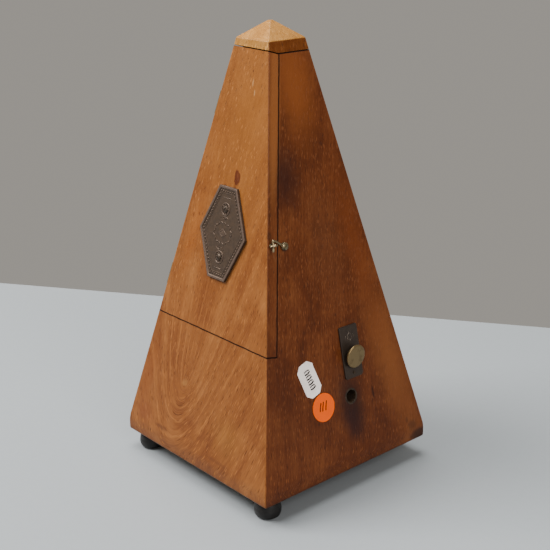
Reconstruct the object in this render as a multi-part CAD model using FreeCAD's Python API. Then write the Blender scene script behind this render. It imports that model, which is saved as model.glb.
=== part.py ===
import FreeCAD, Part
import math
import os

# A clockwork metronome in a tapering wooden case. Millimetres, +Z up, front towards -Y,
# origin on the table under the middle of the base.

# Case
BASE_HALF_X = 57.5
DEPTH_RATIO = 0.981
FOOT_HEIGHT = 10.0
BAND_TOP = 17.0
BODY_TOP = 216.8
TAPER = 0.2203
WALL = 5.2
BOTTOM_THICKNESS = 6.0
TOP_BLOCK_HEIGHT = 10.0
GAP = 0.3
OVERSIZE = 80.0
MARGIN = 1.0

# Door
DOOR_THICKNESS = 6.4
DOOR_SKIN = 1.8
DOOR_RIM = 2.6
DOOR_BOTTOM_V = 64.9
DOOR_TOP_RIM_V = 198.0
DOOR_TOP_RISE = 0.30
DOOR_TOP_TILT = 0.02
ROD_NOTCH_HALF = 8.0
HINGE_RELIEF_LENGTH = 8.0
HINGE_RELIEF_DEPTH = 4.4
HINGE_RELIEF_HEIGHT = 1.9

# Lid
LID_BAND_TOP = 222.7
LID_APEX = 231.6
LID_TOP = 230.9
LID_SEAM = 0.5
LID_POCKET_HALF = 6.5
LID_POCKET_DEPTH = 4.0

# Scale
BOARD_FRONT = 7.5
BOARD_THICKNESS = 4.0
BOARD_BOTTOM_V = 61.0
SCALE_THICKNESS = 0.5
SCALE_LOW_V = 72.0
SCALE_HIGH_V = 176.0
SCALE_LOW_HALF = 13.0
SCALE_HIGH_HALF = 7.5
SCALE_MARKS = 20
MARK_LENGTH = 3.2
MARK_WIDTH = 0.3
MARK_DEPTH = 0.12
MARK_EDGE = 1.2
MARK_END = 5.0
SCALE_PIN_RADIUS = 0.5
SCALE_PIN_HEAD = 1.0
SCALE_PIN_LENGTH = 3.0
SCALE_PIN_EDGE = 2.2

# Clip over the tip of the rod
CLIP_HALF = 2.5
CLIP_STRIP = 0.6
CLIP_TONGUE_FRONT = 2.1
CLIP_LOW_V = 174.0
CLIP_WEB_V = 181.0
CLIP_HIGH_V = 189.5
CLIP_SCREW_V = 185.6

# Pendulum
PIVOT_V = 52.2
ROD_HALF = 1.5
ROD_FRONT = 2.9
ROD_BACK = 4.1
ROD_TIP_V = 176.0
HUB_RADIUS = 3.4
HUB_FRONT = 2.4
HUB_BACK = 5.0
ARBOR_RADIUS = 1.25
ARBOR_FRONT = 2.2
ARBOR_BACK = 37.5
BOB_RADIUS = 12.0
BOB_DROP = 33.0
BOB_FRONT = 8.0
BOB_BACK = 17.0
ARM_HALF = 2.0
ARM_FRONT = 10.0
ARM_BACK = 12.0
COLLET_RADIUS = 3.5
COLLET_FRONT = 9.5
COLLET_BACK = 12.5
POCKET_LOW_V = 45.0
PALLET_HUB = 2.6
PALLET_REACH = 5.8
PALLET_WIDTH = 1.6
PALLET_PLACES = [(21.5, -30.0), (27.5, 30.0)]
PALLET_THICKNESS = 2.0
RUNNING = 0.05

# Sliding weight
WEIGHT_V = 118.0
WEIGHT_HEIGHT = 13.0
WEIGHT_TOP_HALF = 8.0
WEIGHT_LOW_HALF = 5.5
WEIGHT_FRONT = 2.1
WEIGHT_BACK = 5.9
WEIGHT_PLAY = 0.06

# Plaque
PLAQUE_V = 116.0
PLAQUE_HALF_WIDTH = 17.6
PLAQUE_HALF_HEIGHT = 23.2
PLAQUE_END_HALF = 6.5
PLAQUE_THICKNESS = 1.5
PLAQUE_FIELD_DEPTH = 0.5
PLAQUE_BORDER = 1.5
PLAQUE_SCREW_OFFSET = 12.0
PLAQUE_SCREW_HEAD = 1.8
PLAQUE_SCREW_DOME = 1.0
PLAQUE_SCREW_RADIUS = 0.8
PLAQUE_SCREW_DEPTH = 1.5
PLAQUE_SCREW_SLOT = 0.45
PLAQUE_SCREW_TURN = 50.0

# Hook and eye on the right side
LATCH_Y = -22.1
LATCH_V = 115.0
LATCH_SHANK = 0.9
LATCH_DEPTH = 3.5
LATCH_HEAD = 1.9
LATCH_HEAD_LOW = 1.7
LATCH_HEAD_HIGH = 2.5
WIRE = 0.55
EYELET_RADIUS = 1.9
EYELET_LOW = 0.3
EYELET_HIGH = 1.4
HOOK_REACH = 7.3
HOOK_RISE = 4.3
HOOK_END = 0.4
EYE_RISE = 1.7
EYE_STANDOFF = 2.2
EYE_RING = 1.5
EYE_WIRE = 0.45
EYE_DEPTH = 2.3

# Hinges
KNUCKLE = 1.1
HINGE_PIN = 0.5
LEAF_THICKNESS = 0.7
LEAF_INNER = 1.25
DOOR_LEAF_WIDTH = 5.7
CASE_LEAF_WIDTH = 7.5
DOOR_HINGE_HALF = 6.0
DOOR_HINGE_VS = [86.0, 178.0]
LID_HINGE_HALF = 7.0
LID_LEAF_WIDTH = 5.2
SEGMENT = 2.0
SEGMENT_GAP = 0.15
SCREW_HEAD = 1.2
SCREW_RADIUS = 0.6
SCREW_LENGTH = 2.9
SCREW_SLOT = 0.3
LEAF_SCREW_SHARE = 0.6

# Bell pull and its plate
PULL_Y = 10.85
PULL_Z = 67.9
PULL_RADIUS = 1.5
PULL_INNER_X = -30.0
KNOB_X = 50.8
KNOB_THICKNESS = 1.8
KNOB_RADIUS = 6.1
KNOB_SEAT = 0.8
PULL_HOLE = 2.0
NOTCH_COUNT = 5
NOTCH_STEP = 3.0
NOTCH_X = 14.0
NOTCH_WIDTH = 0.8
NOTCH_DEPTH = 0.3
PLATE_Y = (4.7, 17.0)
PLATE_V = (40.0, 67.1)
PLATE_THICKNESS = 0.9
PLATE_PIN_V = 42.6
PLATE_PIN_HEAD = 0.8
PLATE_PIN_RADIUS = 0.5
PLATE_PIN_LENGTH = 4.0

# Key hole
KEY_Y = 7.2
KEY_Z = 47.3
KEY_RADIUS = 3.1
BUSH_RADIUS = 4.1
BUSH_INNER_X = 44.6

# Paper labels
PAPER = 0.15
ROUND_Y = -12.1
ROUND_V = 31.0
ROUND_RADIUS = 7.2
TAG_Y = -18.6
TAG_V = 47.2
TAG_HALF_WIDTH = 5.3
TAG_HALF_LENGTH = 9.2
TAG_CLIP = 2.6
TAG_ANGLE = 17.0

# Feet
FOOT_RADIUS = 6.7
FOOT_ROUND = 2.6
FOOT_INSET = 8.8
PEG_RADIUS = 2.0
PEG_LENGTH = 5.0
BLOCK_LEG = 9.0
BLOCK_HEIGHT = 12.0

# Movement
PLATE_LEFT_X = -16.5
PLATE_RIGHT_X = 29.0
MOVEMENT_PLATE = 1.5
BASE_X = (-20.0, 34.0)
BASE_Y = (-31.0, 28.0)
BASE_THICKNESS = 1.5
MOVEMENT_BACK_Y = 26.0
MOVEMENT_FRONT_Y = -29.0
MOVEMENT_TOP_Z = 72.0
EAR_FRONT = 6.0
EAR_BACK = 13.0
EAR_LOW_V = 46.0
EAR_HIGH_V = 58.0
COCK_FRONT = (6.0, 8.5)
COCK_REAR = (33.0, 35.5)
COCK_HALF = 5.0
PILLAR_RADIUS = 2.5
PILLARS = [(-25.0, 22.0), (22.0, 22.0), (22.0, 66.0), (-2.0, 68.0)]
PLATE_SCREW_RADIUS = 1.0
PLATE_SCREW_HEAD = 2.0
PLATE_SCREW_HEAD_HEIGHT = 1.0
PLATE_SCREW_LENGTH = 5.0
BASE_SCREWS = [(-11.0, -25.0), (25.0, -25.0), (-11.0, 22.0), (25.0, 22.0)]
BASE_SCREW_RADIUS = 1.5
BASE_SCREW_HEAD = 3.0

# Gear train
WHEEL_TEETH = 48
WHEEL_MODULE = 0.75
PINION_TEETH = 12
SECOND_TEETH = 40
SECOND_MODULE = 0.6
ESCAPE_PINION_TEETH = 10
MESH_ONE = 215.0
MESH_TWO = 128.0
PRESSURE_ANGLE = 20.0
ADDENDUM = 0.75
DEDENDUM = 1.15
TOOTH_SHARE = 0.72
FLANK_STEPS = 3
HALF_TURN = 180.0
GREAT_X = (7.5, 9.5)
BARREL_X = (9.5, 25.0)
BARREL_RADIUS = 16.0
BARREL_WALL = 1.5
SPRING_X = (10.5, 22.0)
SPRING_INNER = 3.6
SPRING_OUTER = 13.6
SPRING_TURNS = 5
SPRING_STEPS = 18
SPRING_STRIP = 0.5
WINDING_RADIUS = 2.5
WINDING_SHOULDER_X = 33.2
WINDING_END_X = 43.4
SQUARE_HALF = 1.6
RATCHET_X = (31.0, 32.5)
RATCHET_RADIUS = 7.0
RATCHET_ROOT = 5.8
RATCHET_TEETH = 18
CLICK_ANGLE = 50.0
CLICK_DISTANCE = 11.5
CLICK_STUD = 1.2
CLICK_HUB = 2.4
CLICK_TIP_ANGLE = 95.0
CLICK_TIP_DISTANCE = 7.95
CLICK_HALF = 0.7
SECOND_PINION_X = (5.5, 11.5)
SECOND_WHEEL_X = (-9.8, -8.2)
SECOND_ARBOR = 1.5
SECOND_PIVOT = 1.0
ESCAPE_PINION_X = (-11.5, -6.5)
ESCAPE_X = (-0.8, 0.8)
ESCAPE_RADIUS = 9.5
ESCAPE_ROOT = 7.2
ESCAPE_TEETH = 15
ESCAPE_ARBOR = 1.2
ESCAPE_PIVOT = 0.8

# Bell
BELL_X = -31.0
BELL_Y = 26.0
BELL_MOUTH_Z = 46.0
BELL_RADIUS = 13.0
BELL_WALL = 1.2
POST_RADIUS = 2.6
POST_FLANGE = 5.0
POST_TOP = 62.5
BELL_HOLE = 1.8
NUT_RADIUS = 3.4
NUT_HEIGHT = 2.0
HAMMER_X = (-32.5, -29.5)
HAMMER_Y = 0.0
HAMMER_Z = 26.0
HAMMER_HUB = 3.0
HAMMER_STUD = 1.5
HAMMER_STUD_END = -34.0
HAMMER_ARM = 1.2
HAMMER_HEAD = 3.0
HAMMER_HEAD_Y = 9.0
HAMMER_HEAD_Z = 49.5
HAMMER_TAIL_Y = -9.0
HAMMER_TAIL_Z = 24.0

os.makedirs("parts", exist_ok=True)
V = FreeCAD.Vector
TAPER_Y = TAPER * DEPTH_RATIO
LEAN_X = math.atan(TAPER)
LEAN_Y = math.atan(TAPER_Y)
BASE_HALF_Y = BASE_HALF_X * DEPTH_RATIO
FLOOR_Z = FOOT_HEIGHT + BOTTOM_THICKNESS


def frame(origin, ex, ey):
    """A local frame with its third axis along ex x ey."""
    ez = ex.cross(ey)
    return FreeCAD.Placement(FreeCAD.Matrix(
        ex.x, ey.x, ez.x, origin.x,
        ex.y, ey.y, ez.y, origin.y,
        ex.z, ey.z, ez.z, origin.z,
        0, 0, 0, 1))


def put(shape, place):
    moved = shape.copy()
    moved.Placement = place.multiply(moved.Placement)
    return moved


def box(xs, ys, zs):
    return Part.makeBox(xs[1] - xs[0], ys[1] - ys[0], zs[1] - zs[0], V(xs[0], ys[0], zs[0]))


def bar(radius, start, end):
    """A round bar between two points."""
    along = end - start
    return Part.makeCylinder(radius, along.Length, start, along)


def prism(points, low, high):
    """A polygon in the local XY plane, extruded from low to high."""
    corners = [V(x, y, low) for x, y in points]
    face = Part.Face(Part.makePolygon(corners + corners[:1]))
    return face.extrude(V(0, 0, high - low))


def join(shapes):
    return shapes[0].fuse(shapes[1:]).removeSplitter()


def half_x(z):
    return BASE_HALF_X - TAPER * max(z - BAND_TOP, 0)


def rectangle(z, inset):
    x = half_x(z) - inset
    y = x * DEPTH_RATIO
    return Part.makePolygon([V(-x, -y, z), V(x, -y, z), V(x, y, z), V(-x, y, z), V(-x, -y, z)])


def tapered(low, high, inset):
    """The case's outline between two heights, drawn in by an inset."""
    pieces = []
    if low < BAND_TOP:
        x = BASE_HALF_X - inset
        y = x * DEPTH_RATIO
        pieces.append(box((-x, x), (-y, y), (low, BAND_TOP)))
        low = BAND_TOP
    pieces.append(Part.makeLoft([rectangle(low, inset), rectangle(high, inset)], True, True))
    return join(pieces) if len(pieces) > 1 else pieces[0]


def wedge(towards_x, towards_y):
    """One of the four quarters of the plan, cut along the corner diagonals."""
    far_x = 2 * BASE_HALF_X
    far_y = far_x * DEPTH_RATIO
    if towards_x:
        points = [(0, 0), (towards_x * far_x, -far_y), (towards_x * far_x, far_y)]
    else:
        points = [(0, 0), (-far_x, towards_y * far_y), (far_x, towards_y * far_y)]
    return prism(points, 0, LID_TOP)


def save(name, shapes):
    solids = shapes if isinstance(shapes, list) else [shapes]
    shape = solids[0] if len(solids) == 1 else Part.makeCompound(solids)
    shape.exportStep("parts/" + name + ".step")


def screw(length, head):
    """A countersunk slotted screw standing in a leaf, its axis along local Z."""
    cone = Part.makeCone(SCREW_RADIUS, head, LEAF_THICKNESS)
    shank = bar(SCREW_RADIUS, V(0, 0, -length), V(0, 0, 0))
    return cone.fuse(shank)


def slotted(shape, head, top):
    slot = box((-head, head), (-SCREW_SLOT / 2, SCREW_SLOT / 2), (top - SCREW_SLOT, top + MARGIN))
    return shape.cut(slot)


# Local frames: x across, y up the slope, z outward
FRONT = frame(V(0, -BASE_HALF_Y, BAND_TOP), V(1, 0, 0), V(0, math.sin(LEAN_Y), math.cos(LEAN_Y)))
RIGHT = frame(V(BASE_HALF_X, 0, BAND_TOP), V(0, 1, 0), V(-math.sin(LEAN_X), 0, math.cos(LEAN_X)))
BACK = frame(V(0, BASE_HALF_Y, BAND_TOP), V(-1, 0, 0), V(0, -math.sin(LEAN_Y), math.cos(LEAN_Y)))
AXLE = frame(V(0, 0, 0), V(0, 1, 0), V(0, 0, 1))


def at_front(u, v, depth):
    return FRONT.multVec(V(u, v, -depth))


def front_box(us, vs, depths):
    return put(box(us, vs, (-depths[1], -depths[0])), FRONT)


def front_bar(radius, u, v, depths):
    return bar(radius, at_front(u, v, depths[0]), at_front(u, v, depths[1]))


# Case walls, mitred along the four corner edges
outer = tapered(FOOT_HEIGHT, BODY_TOP, 0)
inner = tapered(FOOT_HEIGHT - MARGIN, BODY_TOP + MARGIN, WALL)
walls = outer.cut(inner)
DOOR_BACK = DOOR_THICKNESS + GAP / 2
door_zone = front_box((-OVERSIZE, OVERSIZE), (DOOR_BOTTOM_V - GAP / 2, LID_TOP), (-OVERSIZE, DOOR_BACK))
side_left = walls.common(wedge(-1, 0)).cut(door_zone)
side_right = walls.common(wedge(1, 0)).cut(door_zone)
back_panel = walls.common(wedge(0, 1))
front_panel = walls.common(wedge(0, -1)).cut(door_zone)
pocket = front_box((-ROD_NOTCH_HALF, ROD_NOTCH_HALF), (POCKET_LOW_V, LID_TOP), (DOOR_SKIN, DOOR_BACK))
front_panel = front_panel.cut(pocket)

# Bottom board, glue blocks in its corners, and the block that closes the top
bottom_board = inner.common(box((-OVERSIZE, OVERSIZE), (-OVERSIZE, OVERSIZE), (FOOT_HEIGHT, FLOOR_Z)))
inner_x = BASE_HALF_X - WALL
inner_y = inner_x * DEPTH_RATIO
blocks = []
for sx in (-1, 1):
    for sy in (-1, 1):
        corner = [(sx * inner_x, sy * inner_y), (sx * (inner_x - BLOCK_LEG), sy * inner_y),
                  (sx * inner_x, sy * (inner_y - BLOCK_LEG))]
        blocks.append(prism(corner, FLOOR_Z, FLOOR_Z + BLOCK_HEIGHT).common(inner))
block_low = BODY_TOP - TOP_BLOCK_HEIGHT
top_block = inner.common(box((-OVERSIZE, OVERSIZE), (-OVERSIZE, OVERSIZE), (block_low, BODY_TOP)))
top_block = top_block.cut(door_zone)

# Scale board behind the pendulum, closing the case's front above the movement
board = front_box((-OVERSIZE, OVERSIZE), (BOARD_BOTTOM_V, LID_TOP),
                  (BOARD_FRONT, BOARD_FRONT + BOARD_THICKNESS))
board = board.common(inner).common(box((-OVERSIZE, OVERSIZE), (-OVERSIZE, OVERSIZE), (0, block_low)))

# Door: a shallow tray over the pendulum, its top edge bevelled to match the lid
seam_y = at_front(0, (BODY_TOP - BAND_TOP) / math.cos(LEAN_Y), DOOR_BACK).y
bevel_x = V(1, 0, -DOOR_TOP_TILT).normalize()
bevel_y = V(0, 1, -DOOR_TOP_RISE)
bevel_y = (bevel_y - bevel_x * bevel_y.dot(bevel_x)).normalize()
BEVEL = frame(V(0, seam_y, BODY_TOP), bevel_x, bevel_y)
below_bevel = put(box((-OVERSIZE, OVERSIZE), (-OVERSIZE, OVERSIZE), (-LID_TOP, 0)), BEVEL)
door = tapered(BAND_TOP, LID_TOP, 0).common(below_bevel)
door = door.common(front_box((-OVERSIZE, OVERSIZE), (DOOR_BOTTOM_V + GAP / 2, LID_TOP),
                             (-MARGIN, DOOR_THICKNESS)))
hollow_vs = (DOOR_BOTTOM_V + DOOR_RIM, DOOR_TOP_RIM_V)
low_half, high_half = [half_x(BAND_TOP + v * math.cos(LEAN_Y)) - DOOR_RIM for v in hollow_vs]
hollow_outline = [(-low_half, hollow_vs[0]), (low_half, hollow_vs[0]),
                  (high_half, hollow_vs[1]), (-high_half, hollow_vs[1])]
hollow = put(prism(hollow_outline, -DOOR_BACK, -DOOR_SKIN), FRONT)
rim_notch = front_box((-ROD_NOTCH_HALF, ROD_NOTCH_HALF),
                      (DOOR_BOTTOM_V - MARGIN, DOOR_BOTTOM_V + DOOR_RIM + MARGIN), (DOOR_SKIN, DOOR_BACK))
door = door.cut(hollow).cut(rim_notch)
top_half = half_x(BODY_TOP)
relief = box((-top_half - MARGIN, -top_half + HINGE_RELIEF_LENGTH),
             (seam_y - HINGE_RELIEF_DEPTH, seam_y + MARGIN),
             (BODY_TOP - MARGIN / 2, BODY_TOP + HINGE_RELIEF_HEIGHT))
door = door.cut(relief)

# Lid: a low pyramid on a short band, its underside matching the top of the case and door
lid = tapered(BODY_TOP + GAP, LID_BAND_TOP, 0)
roof_x = half_x(LID_BAND_TOP)
roof_y = roof_x * DEPTH_RATIO
flat = (LID_APEX - LID_TOP) / (LID_APEX - LID_BAND_TOP)
roof_low = rectangle(LID_BAND_TOP, 0)
roof_high = Part.makePolygon([V(sx * roof_x * flat, sy * roof_y * flat, LID_TOP)
                              for sx, sy in [(-1, -1), (1, -1), (1, 1), (-1, 1), (-1, -1)]])
lid = join([lid, Part.makeLoft([roof_low, roof_high], True, True)])
lid_cut = put(box((-OVERSIZE, OVERSIZE), (-OVERSIZE, LID_SEAM), (-OVERSIZE, LID_SEAM)), BEVEL)
lid = lid.cut(lid_cut)
lid = lid.cut(box((-LID_POCKET_HALF, LID_POCKET_HALF), (seam_y + WALL, LID_POCKET_HALF),
                  (BODY_TOP, BODY_TOP + LID_POCKET_DEPTH)))

# Turned feet on pegs: two at the front corners, one in the middle of the back
feet = []
foot_x = BASE_HALF_X - FOOT_INSET
foot_y = BASE_HALF_Y - FOOT_INSET
for x, y in ((-foot_x, -foot_y), (foot_x, -foot_y), (0, foot_y)):
    bun = bar(FOOT_RADIUS, V(x, y, 0), V(x, y, FOOT_HEIGHT))
    bun = bun.makeFillet(FOOT_ROUND, [e for e in bun.Edges if isinstance(e.Curve, Part.Circle)])
    peg = bar(PEG_RADIUS, V(x, y, FOOT_HEIGHT - MARGIN), V(x, y, FOOT_HEIGHT + PEG_LENGTH))
    bottom_board = bottom_board.cut(peg)
    feet.append(bun.fuse(peg))

# Hinges: leaves lie on the outside faces, knuckles stand over the seam
def leaf(side, width, half, segments):
    """A hinge leaf reaching to one side of its knuckle, with its own knuckle segments."""
    xs = sorted((side * LEAF_INNER, side * width))
    parts = [box(xs, (-half, half), (0, LEAF_THICKNESS))]
    for low, high in segments:
        tab = sorted((0, side * (LEAF_INNER + MARGIN)))
        parts.append(box(tab, (low, high), (0, LEAF_THICKNESS)))
        parts.append(bar(KNUCKLE, V(0, low, KNUCKLE), V(0, high, KNUCKLE)))
    bore = bar(HINGE_PIN + RUNNING, V(0, -half - MARGIN, KNUCKLE), V(0, half + MARGIN, KNUCKLE))
    return join(parts).cut(bore)


def hinge(place, moving_width, fixed_width, half, screw_length):
    """The two leaves, pin and screws of one hinge, and the screws' holes."""
    middle = (-SEGMENT + SEGMENT_GAP, SEGMENT - SEGMENT_GAP)
    moving = leaf(1, moving_width, half, [middle])
    fixed = leaf(-1, fixed_width, half, [(-half, -SEGMENT), (SEGMENT, half)])
    pin = bar(HINGE_PIN, V(0, -half, KNUCKLE), V(0, half, KNUCKLE))
    found = {"moving_screws": [], "fixed_screws": []}
    for side, width, key in ((1, moving_width, "moving_screws"), (-1, fixed_width, "fixed_screws")):
        for end in (-1, 1):
            spot = V(side * (LEAF_INNER + (width - LEAF_INNER) / 2), end * half * LEAF_SCREW_SHARE, 0)
            body = screw(screw_length, SCREW_HEAD)
            body.translate(spot)
            moving = moving.cut(body)
            fixed = fixed.cut(body)
            made = slotted(screw(screw_length, SCREW_HEAD), SCREW_HEAD, LEAF_THICKNESS)
            made.translate(spot)
            found[key].append((put(made, place), put(body, place)))
    return put(moving, place), put(fixed, place), put(pin, place), found


corner_up = V(TAPER, TAPER_Y, 1).normalize()
left_out = V(-math.cos(LEAN_X), 0, math.sin(LEAN_X))
hinge_x = corner_up.cross(left_out)
front_out = V(0, -math.cos(LEAN_Y), math.sin(LEAN_Y))
seam_shift = hinge_x * (-(DOOR_THICKNESS + GAP / 4) / hinge_x.dot(front_out))
door_leaves = []
case_leaves = []
door_pins = []
door_screws = []
case_screws = []
for v in DOOR_HINGE_VS:
    z = BAND_TOP + v * math.cos(LEAN_Y)
    start = V(-half_x(z), -half_x(z) * DEPTH_RATIO, z) + seam_shift
    moving, fixed, pin, screws = hinge(frame(start, hinge_x, corner_up), DOOR_LEAF_WIDTH,
                                       CASE_LEAF_WIDTH, DOOR_HINGE_HALF, SCREW_LENGTH - LEAF_THICKNESS)
    door_leaves.append(moving)
    case_leaves.append(fixed)
    door_pins.append(pin)
    for made, hole in screws["moving_screws"]:
        door = door.cut(hole)
        door_screws.append(made)
    for made, hole in screws["fixed_screws"]:
        side_left = side_left.cut(hole)
        case_screws.append(made)

lid_seam = BACK.multVec(V(0, (BODY_TOP + GAP / 2 - BAND_TOP) / math.cos(LEAN_Y), 0))
LID_HINGE = frame(lid_seam, V(0, -math.sin(LEAN_Y), math.cos(LEAN_Y)), V(1, 0, 0))
lid_leaf, lid_case_leaf, lid_pin, screws = hinge(LID_HINGE, LID_LEAF_WIDTH, CASE_LEAF_WIDTH,
                                                 LID_HINGE_HALF, SCREW_LENGTH)
lid_screws = []
for made, hole in screws["moving_screws"]:
    lid = lid.cut(hole)
    lid_screws.append(made)
for made, hole in screws["fixed_screws"]:
    back_panel = back_panel.cut(hole)
    case_screws.append(made)

# Scale plate with engraved tempo marks and its pins
outline = [(-SCALE_LOW_HALF, SCALE_LOW_V), (SCALE_LOW_HALF, SCALE_LOW_V),
           (SCALE_HIGH_HALF, SCALE_HIGH_V), (-SCALE_HIGH_HALF, SCALE_HIGH_V)]
scale_plate = put(prism(outline, -BOARD_FRONT, SCALE_THICKNESS - BOARD_FRONT), FRONT)
SCALE_FRONT = BOARD_FRONT - SCALE_THICKNESS
marks = []
mark_step = (SCALE_HIGH_V - SCALE_LOW_V - 2 * MARK_END) / (SCALE_MARKS - 1)
for i in range(SCALE_MARKS):
    v = SCALE_LOW_V + MARK_END + i * mark_step
    share = (v - SCALE_LOW_V) / (SCALE_HIGH_V - SCALE_LOW_V)
    edge = SCALE_LOW_HALF + (SCALE_HIGH_HALF - SCALE_LOW_HALF) * share - MARK_EDGE
    for side in (-1, 1):
        us = sorted((side * edge, side * (edge - MARK_LENGTH)))
        marks.append(front_box(us, (v, v + MARK_WIDTH), (SCALE_FRONT - MARGIN, SCALE_FRONT + MARK_DEPTH)))
scale_plate = scale_plate.cut(Part.makeCompound(marks))
scale_pins = []
for side in (-1, 1):
    for v, half in ((SCALE_LOW_V + SCALE_PIN_EDGE, SCALE_LOW_HALF),
                    (SCALE_HIGH_V - SCALE_PIN_EDGE, SCALE_HIGH_HALF)):
        u = side * (half - SCALE_PIN_EDGE)
        shank = front_bar(SCALE_PIN_RADIUS, u, v, (SCALE_FRONT, SCALE_FRONT + SCALE_PIN_LENGTH))
        head = front_bar(SCALE_PIN_HEAD, u, v, (SCALE_FRONT - SCALE_PIN_RADIUS, SCALE_FRONT))
        board = board.cut(shank)
        scale_plate = scale_plate.cut(shank)
        scale_pins.append(shank.fuse(head))

# Clip: a bent strip whose tongue hangs in front of the rod's tip
clip_us = (-CLIP_HALF, CLIP_HALF)
clip = join([
    front_box(clip_us, (CLIP_WEB_V, CLIP_HIGH_V), (BOARD_FRONT - CLIP_STRIP, BOARD_FRONT)),
    front_box(clip_us, (CLIP_WEB_V, CLIP_WEB_V + CLIP_STRIP), (CLIP_TONGUE_FRONT, BOARD_FRONT)),
    front_box(clip_us, (CLIP_LOW_V, CLIP_WEB_V + CLIP_STRIP),
              (CLIP_TONGUE_FRONT, CLIP_TONGUE_FRONT + CLIP_STRIP))])
CLIP_SCREW = FRONT.multiply(FreeCAD.Placement(V(0, CLIP_SCREW_V, -BOARD_FRONT), FreeCAD.Rotation()))
clip_hole = put(screw(SCREW_LENGTH, SCREW_HEAD), CLIP_SCREW)
clip = clip.cut(clip_hole)
board = board.cut(clip_hole)
case_screws.append(put(slotted(screw(SCREW_LENGTH, SCREW_HEAD), SCREW_HEAD, LEAF_THICKNESS), CLIP_SCREW))

# Pendulum: flat rod on a hub, arbor running back into the case, weighted arm below
rod = join([front_box((-ROD_HALF, ROD_HALF), (PIVOT_V, ROD_TIP_V), (ROD_FRONT, ROD_BACK)),
            front_bar(HUB_RADIUS, 0, PIVOT_V, (HUB_FRONT, HUB_BACK))])
arbor = front_bar(ARBOR_RADIUS, 0, PIVOT_V, (ARBOR_FRONT, ARBOR_BACK))
rod = rod.cut(arbor)
bob_v = PIVOT_V - BOB_DROP
bob_arm = join([front_box((-ARM_HALF, ARM_HALF), (bob_v, PIVOT_V), (ARM_FRONT, ARM_BACK)),
                front_bar(COLLET_RADIUS, 0, PIVOT_V, (COLLET_FRONT, COLLET_BACK))]).cut(arbor)
lower_bob = front_bar(BOB_RADIUS, 0, bob_v, (BOB_FRONT, BOB_BACK)).cut(bob_arm)
pallets = []
for depth, angle in PALLET_PLACES:
    arm = box((-PALLET_WIDTH / 2, PALLET_WIDTH / 2), (-PALLET_REACH, 0),
              (-depth - PALLET_THICKNESS / 2, -depth + PALLET_THICKNESS / 2))
    arm.rotate(V(0, 0, 0), V(0, 0, 1), angle)
    arm.translate(V(0, PIVOT_V, 0))
    hub = front_bar(PALLET_HUB, 0, PIVOT_V, (depth - PALLET_THICKNESS / 2, depth + PALLET_THICKNESS / 2))
    pallets.append(join([put(arm, FRONT), hub]).cut(arbor))

# Sliding weight with a slot for the rod
weight_low = WEIGHT_V - WEIGHT_HEIGHT / 2
weight_high = WEIGHT_V + WEIGHT_HEIGHT / 2
weight_outline = [(-WEIGHT_LOW_HALF, weight_low), (WEIGHT_LOW_HALF, weight_low),
                  (WEIGHT_TOP_HALF, weight_high), (-WEIGHT_TOP_HALF, weight_high)]
weight = put(prism(weight_outline, -WEIGHT_BACK, -WEIGHT_FRONT), FRONT)
weight = weight.cut(front_box((-ROD_HALF - WEIGHT_PLAY, ROD_HALF + WEIGHT_PLAY), (PIVOT_V, ROD_TIP_V),
                              (ROD_FRONT - WEIGHT_PLAY, ROD_BACK + WEIGHT_PLAY)))


# Plaque: an upright six-sided plate with a raised border, on two round-headed screws
def hexagon(border):
    slant = math.hypot(PLAQUE_HALF_WIDTH - PLAQUE_END_HALF, PLAQUE_HALF_HEIGHT)
    half_w = PLAQUE_HALF_WIDTH - border * slant / PLAQUE_HALF_HEIGHT
    half_h = PLAQUE_HALF_HEIGHT - border
    end = half_w - (half_h / PLAQUE_HALF_HEIGHT) * (PLAQUE_HALF_WIDTH - PLAQUE_END_HALF)
    return [(half_w, PLAQUE_V), (end, PLAQUE_V + half_h), (-end, PLAQUE_V + half_h),
            (-half_w, PLAQUE_V), (-end, PLAQUE_V - half_h), (end, PLAQUE_V - half_h)]


field = PLAQUE_THICKNESS - PLAQUE_FIELD_DEPTH
plaque = put(prism(hexagon(0), 0, PLAQUE_THICKNESS), FRONT)
plaque = plaque.cut(put(prism(hexagon(PLAQUE_BORDER), field, PLAQUE_THICKNESS + MARGIN), FRONT))
plaque_screws = []
ball_radius = (PLAQUE_SCREW_HEAD ** 2 + PLAQUE_SCREW_DOME ** 2) / (2 * PLAQUE_SCREW_DOME)
for side in (-1, 1):
    v = PLAQUE_V + side * PLAQUE_SCREW_OFFSET
    shank = front_bar(PLAQUE_SCREW_RADIUS, 0, v, (-field, PLAQUE_SCREW_DEPTH))
    ball = Part.makeSphere(ball_radius, at_front(0, v, ball_radius - PLAQUE_SCREW_DOME - field))
    dome = ball.common(front_box((-OVERSIZE, OVERSIZE), (0, LID_TOP), (-field - ball_radius, -field)))
    slot = box((-ball_radius, ball_radius), (-SCREW_SLOT / 2, SCREW_SLOT / 2),
               (field + PLAQUE_SCREW_DOME - PLAQUE_SCREW_SLOT, field + ball_radius))
    slot.rotate(V(0, 0, 0), V(0, 0, 1), side * PLAQUE_SCREW_TURN)
    slot.translate(V(0, v, 0))
    plaque = plaque.cut(shank)
    door = door.cut(shank)
    plaque_screws.append(dome.cut(put(slot, FRONT)).fuse(shank))


# Hook and eye
def at_right(y, v, height):
    return RIGHT.multVec(V(y, v, height))


def wire(radius, points):
    """A round wire through points, with rounded bends and ends."""
    parts = [Part.makeSphere(radius, p) for p in points]
    for a, b in zip(points, points[1:]):
        parts.append(bar(radius, a, b))
    return join(parts)


def latch_bar(radius, low, high):
    """A round bar along the latch's pivot, between two heights over the side."""
    return bar(radius, at_right(LATCH_Y, LATCH_V, low), at_right(LATCH_Y, LATCH_V, high))


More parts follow.
